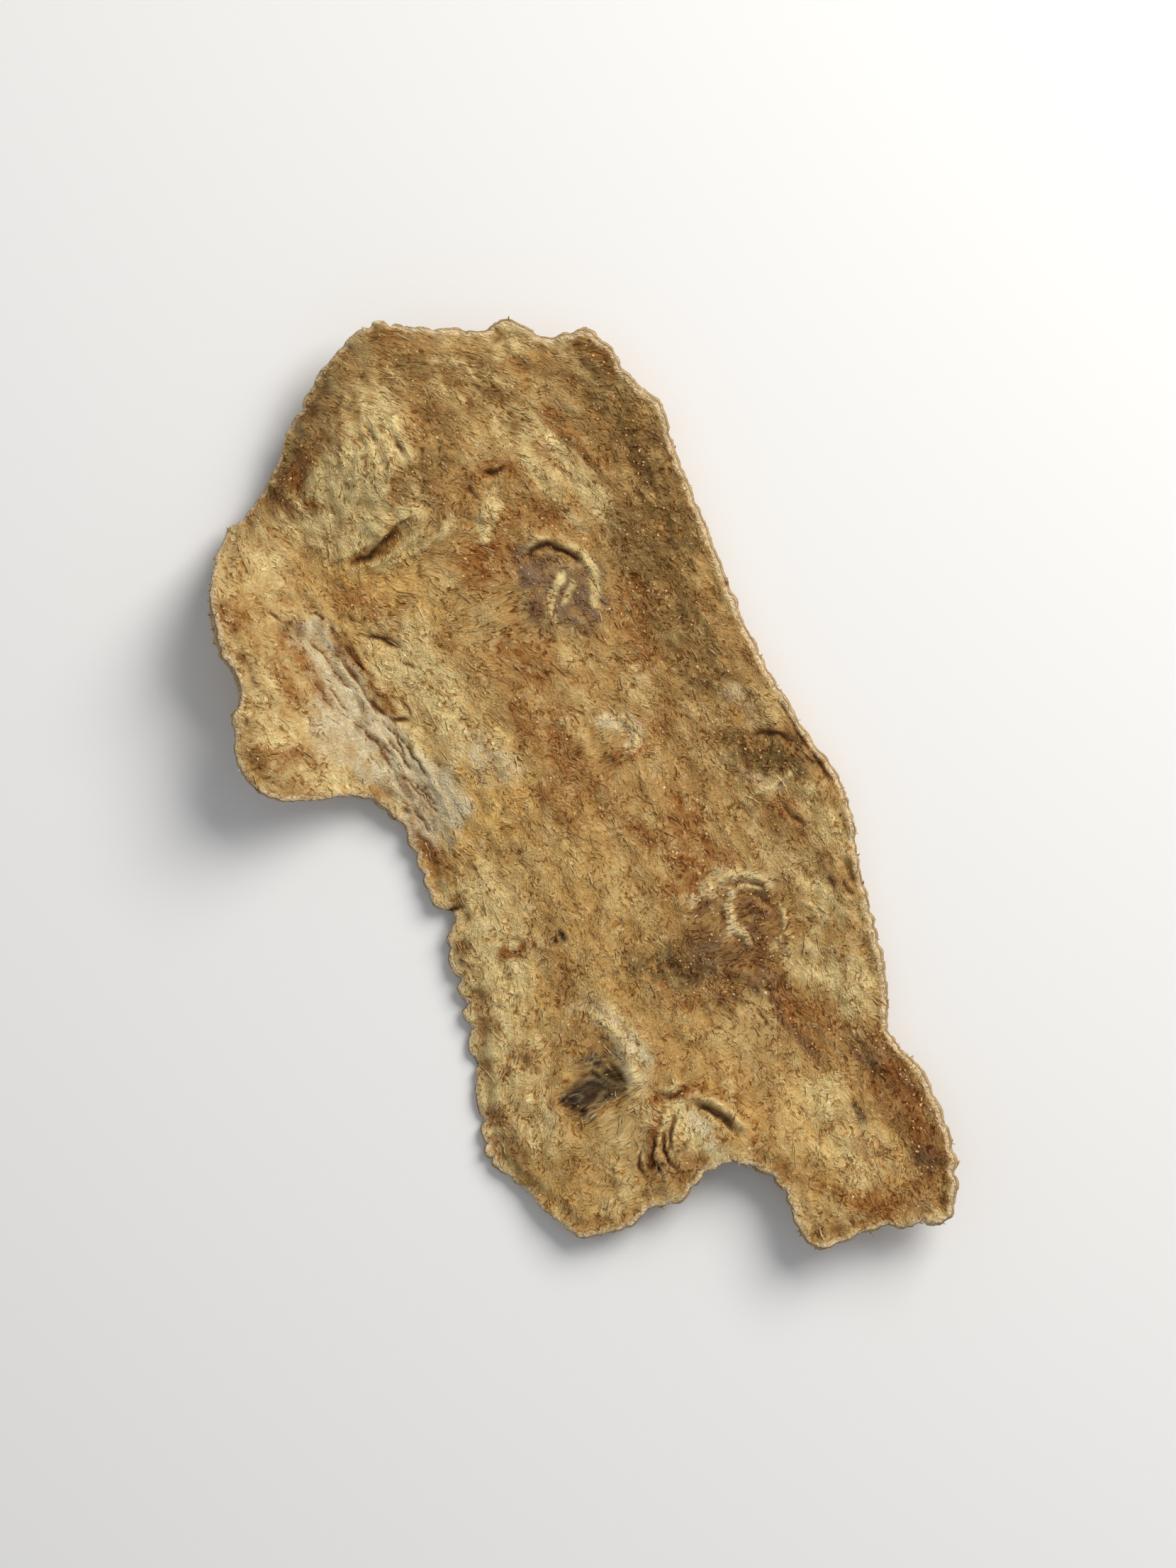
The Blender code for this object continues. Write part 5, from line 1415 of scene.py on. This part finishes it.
def fibres_and_dashes(tree, curly, patchy):
    """(pale fibres, dark dashes): how far they stand up and go down."""
    raised = gated(tree, cloud(tree, curly, PALE_FIBRES), FIBRE_GATE)
    raised = times(tree, raised, gated(tree, attribute(tree, "dull"), FIBRES_ON_DULL))
    raised = times(tree, raised, gated(tree, patchy, FIBRES_IN_PATCHES))
    quiet = plus(tree, patchy, times(tree, attribute(tree, "flecks"), FLECKS_UNQUIET))
    quiet = plus(tree, quiet, times(tree, attribute(tree, "clean"), CLEAN_QUIET))
    sunk = gated(tree, cloud(tree, curly, DARK_DASHES), DASH_GATE)
    return raised, times(tree, sunk, gated(tree, quiet, DASHES_IN_QUIET))


def broken_up(tree, tone, curly, patchy):
    """The stains with their painted light and shade, lit and deepened by a tone, with cream smears and
    rusty flecks.
    """
    stain_and_shading = attribute(tree, "stain_and_shading", "Color")
    colour = blended(tree, gated(tree, tone, LIT_GATE), stain_and_shading, tinted(tree, stain_and_shading, LIT_TINT))
    colour = blended(tree, gated(tree, tone, DEEP_GATE), colour, tinted(tree, stain_and_shading, DEEP_TINT))
    smear = plus(tree, cloud(tree, curly, SMEARS), times(tree, attribute(tree, "dull"), SMEAR_ON_DULL))
    colour = blended(tree, gated(tree, smear, SMEAR_GATE), colour, SMEAR_CREAM)
    fleck = cloud(tree, curly, RUSTY_FLECKS)
    fleck = plus(tree, fleck, times(tree, attribute(tree, "flecks"), FLECKS_FAVOURED))
    fleck = plus(tree, fleck, times(tree, attribute(tree, "clean"), FLECKS_OFF_CLEAN))
    fleck = plus(tree, fleck, times(tree, off_middle(tree, patchy), FLECKS_OFF_PATCHES))
    return blended(tree, gated(tree, fleck, FLECK_GATE), colour, tinted(tree, colour, RUSTY_TINT))


def rimmed(tree, colour, course, soft, grit):
    """The colour with the pale gritty rim, partly the cut flesh's own colour and partly painted highlight
    on the raised lip, and the torn bark on the sides.
    """
    rim_colour = blended(tree, gated(tree, grit, RIM_GRIT_GATE), RIM_BROWN, RIM_CREAM)
    rim = times(tree, attribute(tree, "rim"), gated(tree, soft, RIM_BREAKUP))
    colour = blended(tree, gated(tree, rim, RIM_GATE), colour, rim_colour)
    bark_grit = gated(tree, cloud(tree, course, BARK_GRAIN), RIM_GRIT_GATE)
    bark = blended(tree, bark_grit, BARK_BROWN, BARK_TAN)
    return blended(tree, times(tree, attribute(tree, "bark"), BARK_SHARE), colour, bark)


def cracked_and_shaded(tree, colour, grit):
    """The colour with its cracks and its painted shade lines: brown at their edges and black in their
    depth.
    """
    dark = plus(tree, attribute(tree, "dark"), times(tree, grit, CRACK_GRIT))
    colour = blended(tree, gated(tree, dark, CRACK_AND_SHADE_GATE), colour, CRACK_AND_SHADE_BROWN, "DARKEN")
    return blended(tree, gated(tree, dark, CRACK_AND_SHADE_CORE_GATE), colour, CRACK_AND_SHADE_BLACK)


def flesh_finish():
    """Cut root flesh: its stains broken up by fibres, grit, rusty flecks, dark cracks and painted shade
    lines.
    """
    material, tree = new_finish("dried_root_flesh")
    course = attribute(tree, "grain", "Vector")
    curly = eddied(tree, course)
    soft, patchy, grit = (cloud(tree, curly, kind) for kind in (SOFT_TONE, TONE_PATCHES, GRIT))
    raised, sunk = fibres_and_dashes(tree, curly, patchy)
    drift = gated(tree, cloud(tree, course, TONE_DRIFT), FIBRES_IN_DRIFT)
    tone = times(tree, off_middle(tree, soft), SOFT_TONE_SHARE)
    tone = plus(tree, tone, times(tree, raised, drift))
    tone = plus(tree, tone, sunk)
    tone = plus(tree, tone, times(tree, off_middle(tree, grit), GRIT_SHARE))
    colour = broken_up(tree, tone, curly, patchy)
    glint = cloud(tree, course, GLINTS)
    colour = blended(tree, gated(tree, glint, GLINT_GATE), colour, GLINT_GOLD)
    colour = rimmed(tree, colour, course, soft, grit)
    height = times(tree, plus(tree, raised, sunk), FIBRE_BUMP)
    height = plus(tree, height, times(tree, grit, GRIT_BUMP))
    bump = add(tree, "ShaderNodeBump", {"Height": height, "Strength": 1.0, "Distance": BUMP_HEIGHT * MM})
    coat(
        tree,
        Base_Color=cracked_and_shaded(tree, colour, grit),
        Roughness=gated(tree, glint, GLINT_GLOSS),
        Specular_IOR_Level=0.15,
        Normal=bump.outputs[0],
    )
    return material


def strand_finish():
    """Loose fibres: the colour of the place they grow from, bleached."""
    material, tree = new_finish("root_fibre")
    bleach = gated(tree, attribute(tree, "shade"), BLEACH_GATE)
    colour = blended(tree, bleach, attribute(tree, "stain_and_shading", "Color"), BLEACHED_FIBRE)
    coat(tree, Base_Color=colour, Roughness=0.8, Specular_IOR_Level=0.1)
    return material


def resin_finish():
    """Grains of dried sap: amber to dark red-brown, a little glossy."""
    material, tree = new_finish("dried_sap")
    colour = blended(tree, attribute(tree, "shade"), DARK_SAP, AMBER_SAP)
    coat(tree, Base_Color=colour, Roughness=0.36)
    return material


def random_between(tree, low, high, seed, kind="FLOAT"):
    """A random value for each point."""
    node = add(tree, "FunctionNodeRandomValue", {"Seed": seed}, data_type=kind)
    first, output = (0, 0) if kind == "FLOAT_VECTOR" else (2, 1)
    feed(tree, node.inputs[first], low)
    feed(tree, node.inputs[first + 1], high)
    return node.outputs[output]


def new_recipe(name):
    """(a Geometry Nodes tree with the inputs of a strewn piece, the sockets of its inputs)."""
    tree = bpy.data.node_groups.new(name, "GeometryNodeTree")
    tree.interface.new_socket("Geometry", in_out="INPUT", socket_type="NodeSocketGeometry")
    for label, kind in {**STREW_INPUTS, "Finish": "Material"}.items():
        tree.interface.new_socket(label, in_out="INPUT", socket_type=f"NodeSocket{kind}")
    tree.interface.new_socket("Geometry", in_out="OUTPUT", socket_type="NodeSocketGeometry")
    return tree, add(tree, "NodeGroupInput").outputs


def lie_of_strewn(tree, given, normal):
    """The turn of each strewn piece: along the stored direction, with some sway, lift and twist."""
    run = add(tree, "GeometryNodeInputNamedAttribute", {"Name": given["Run"]}, data_type="FLOAT_VECTOR")
    along = add(tree, "FunctionNodeAlignRotationToVector", {"Vector": run.outputs[0]}, axis="X")
    aims = {"Rotation": along.outputs[0], "Vector": normal}
    upright = add(tree, "FunctionNodeAlignRotationToVector", aims, axis="Z", pivot_axis="X")
    most = add(tree, "ShaderNodeCombineXYZ", {0: STREW_TWIST, 1: given["Lift"], 2: given["Sway"]})
    least = add(tree, "ShaderNodeVectorMath", {0: most.outputs[0], "Scale": -1.0}, operation="SCALE")
    turn = random_between(tree, least.outputs[0], most.outputs[0], TURN_SEED, "FLOAT_VECTOR")
    swayed = add(tree, "FunctionNodeEulerToRotation", {0: turn})
    turns = {"Rotation": upright.outputs[0], "Rotate By": swayed.outputs[0]}
    return add(tree, "FunctionNodeRotateRotation", turns, rotation_space="LOCAL").outputs[0]


def scatter_recipe(name, shape):
    """A recipe that strews a small shape over a mesh, lying along a direction stored on it."""
    tree, given = new_recipe(name)
    where = add(tree, "GeometryNodeInputNamedAttribute", {"Name": given["Where"]}, data_type="FLOAT")
    density = times(tree, where.outputs[0], given["Density"])
    ground = {"Mesh": given["Geometry"], "Density": density, "Seed": given["Seed"]}
    spread = add(tree, "GeometryNodeDistributePointsOnFaces", ground)
    length = random_between(tree, given["Shortest"], given["Longest"], LENGTH_SEED)
    stout = random_between(tree, *STREW_STOUTNESS, THICKNESS_SEED)
    thick = times(tree, given["Thickness"], stout)
    copies = {
        "Points": spread.outputs["Points"],
        "Instance": shape(tree),
        "Rotation": lie_of_strewn(tree, given, spread.outputs["Normal"]),
        "Scale": add(tree, "ShaderNodeCombineXYZ", {0: length, 1: thick, 2: thick}).outputs[0],
    }
    copied = add(tree, "GeometryNodeInstanceOnPoints", copies)
    shade = random_between(tree, 0.0, 1.0, SHADE_SEED)
    shades = {"Geometry": copied.outputs[0], "Name": "shade", "Value": shade}
    shaded = add(tree, "GeometryNodeStoreNamedAttribute", shades, data_type="FLOAT", domain="INSTANCE")
    real = add(tree, "GeometryNodeRealizeInstances", {"Geometry": shaded.outputs[0]})
    coated = {"Geometry": real.outputs[0], "Material": given["Finish"]}
    finished = add(tree, "GeometryNodeSetMaterial", coated)
    add(tree, "NodeGroupOutput", {"Geometry": finished.outputs[0]})
    return tree


def strand_shape(tree):
    """A bowed three-sided fibre, 1 long and 1 thick, with tapered ends."""
    course = {"Start": (-0.5, 0.0, -STRAND_BOW), "Middle": (0.0, 0.0, 1.0), "End": (0.5, 0.0, -STRAND_BOW)}
    spine = add(tree, "GeometryNodeCurveQuadraticBezier", {"Resolution": STRAND_STEPS, **course})
    along = add(tree, "GeometryNodeSplineParameter").outputs["Factor"]
    arch = maths(tree, "SINE", times(tree, along, math.pi))
    radius = plus(tree, times(tree, arch, STRAND_SWELL), STRAND_END)
    tapered = add(tree, "GeometryNodeSetCurveRadius", {"Curve": spine.outputs[0], "Radius": radius})
    section = add(tree, "GeometryNodeCurvePrimitiveCircle", {"Resolution": STRAND_SIDES, "Radius": 1.0})
    sweep = {"Curve": tapered.outputs[0], "Profile Curve": section.outputs[0], "Fill Caps": True}
    return add(tree, "GeometryNodeCurveToMesh", sweep).outputs[0]


def grain_shape(tree):
    """A small lump, 1 long and 1 thick."""
    ball = add(tree, "GeometryNodeMeshIcoSphere", {"Radius": 0.5, "Subdivisions": 1})
    return add(tree, "GeometryNodeSetShadeSmooth", {"Geometry": ball.outputs[0]}).outputs[0]


def strewn(kind, recipe, finish, host):
    """A plain mesh object made by strewing a recipe's shape over the host mesh."""
    values = {label: getattr(kind, label.lower()) for label in STREW_INPUTS}
    values["Finish"] = finish
    maker = placed(kind.name, host)
    modifier = maker.modifiers.new("strew", "NODES")
    modifier.node_group = recipe
    for item in recipe.interface.items_tree:
        if item.in_out == "INPUT" and item.name in values:
            modifier[item.identifier] = values[item.name]
    graph = bpy.context.evaluated_depsgraph_get()
    mesh = bpy.data.meshes.new_from_object(maker.evaluated_get(graph))
    bpy.data.objects.remove(maker)
    for spare in SPARE_MARKS:
        if spare in mesh.attributes:
            mesh.attributes.remove(mesh.attributes[spare])
    mesh.name = kind.name
    return placed(kind.name, mesh)


def belongs(piece):
    """Makes a piece part of the slice."""
    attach(piece, BODY)
    return piece


def root_pieces():
    """The slice with its loose fibres and grains of sap."""
    skin = slice_mesh()
    skin.materials.append(flesh_finish())
    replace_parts(belongs(placed("root_slice_skin", skin)), SLICE_NODE)
    makings = {
        "strand": (scatter_recipe("strands", strand_shape), strand_finish()),
        "grain": (scatter_recipe("grains", grain_shape), resin_finish()),
    }
    for kind in STREWN:
        belongs(strewn(kind, *makings[kind.shape], skin))


# The view straight down on the slice, as it lies in the photograph, and the light on it.
VIEW_MIDDLE = (3.17, 1.6)
VIEW_TURN = math.radians(24.0)
VIEW_HEIGHT = 400.0
VIEW_SPAN = 130.8
NEAREST_SEEN = 10.0
FURTHEST_SEEN = 5000.0
FLOOR_SIZE = 900.0
KEY_SIZE = 260.0
KEY_DISTANCE = 420.0
KEY_ELEVATION = math.radians(42.0)
KEY_ANGLE = math.radians(45.0)
KEY_WATTS = 1.75
KEY_COLOUR = (1.0, 0.96, 0.9)
DOME_COLOUR = (0.93, 0.96, 1.0)
DOME_STRENGTH = 0.36


def table():
    """A plain white table under the slice."""
    half = FLOOR_SIZE / 2 * MM
    mesh = bpy.data.meshes.new("floor")
    corners = [(-half, -half, 0), (half, -half, 0), (half, half, 0), (-half, half, 0)]
    mesh.from_pydata(corners, [], [(0, 1, 2, 3)])
    material, tree = new_finish("white_card")
    coat(tree, Base_Color=CARD_WHITE, Roughness=0.9)
    mesh.materials.append(material)
    placed("floor", mesh)


def lamp():
    """A big soft lamp that shines from the upper right of the picture."""
    data = bpy.data.lights.new("key", "AREA")
    data.size = KEY_SIZE * MM
    data.energy = KEY_WATTS
    data.color = KEY_COLOUR
    azimuth, level = KEY_ANGLE - VIEW_TURN, math.cos(KEY_ELEVATION)
    towards = Vector((math.cos(azimuth) * level, math.sin(azimuth) * level, math.sin(KEY_ELEVATION)))
    key = placed("key", data)
    key.location = towards * KEY_DISTANCE * MM
    key.rotation_euler = towards.to_track_quat("Z", "Y").to_euler()


def dome():
    """Even light from all round, as under an overcast sky."""
    world = bpy.data.worlds.new("dome")
    world.use_nodes = True
    sky = world.node_tree.nodes["Background"]
    feed(world.node_tree, sky.inputs["Color"], DOME_COLOUR)
    feed(world.node_tree, sky.inputs["Strength"], DOME_STRENGTH)
    bpy.context.scene.world = world
    bpy.context.scene.view_settings.view_transform = "Standard"


def camera():
    """The camera, straight above, turned so that the slice leans as in the photograph."""
    data = bpy.data.cameras.new("camera")
    data.angle = 2.0 * math.atan(VIEW_SPAN / 2 / VIEW_HEIGHT)
    data.clip_start = NEAREST_SEEN * MM
    data.clip_end = FURTHEST_SEEN * MM
    eye = placed("camera", data)
    eye.location = (VIEW_MIDDLE[0] * MM, VIEW_MIDDLE[1] * MM, VIEW_HEIGHT * MM)
    eye.rotation_euler = (0.0, 0.0, -VIEW_TURN)
    bpy.context.scene.camera = eye


root_pieces()
table()
lamp()
dome()
camera()
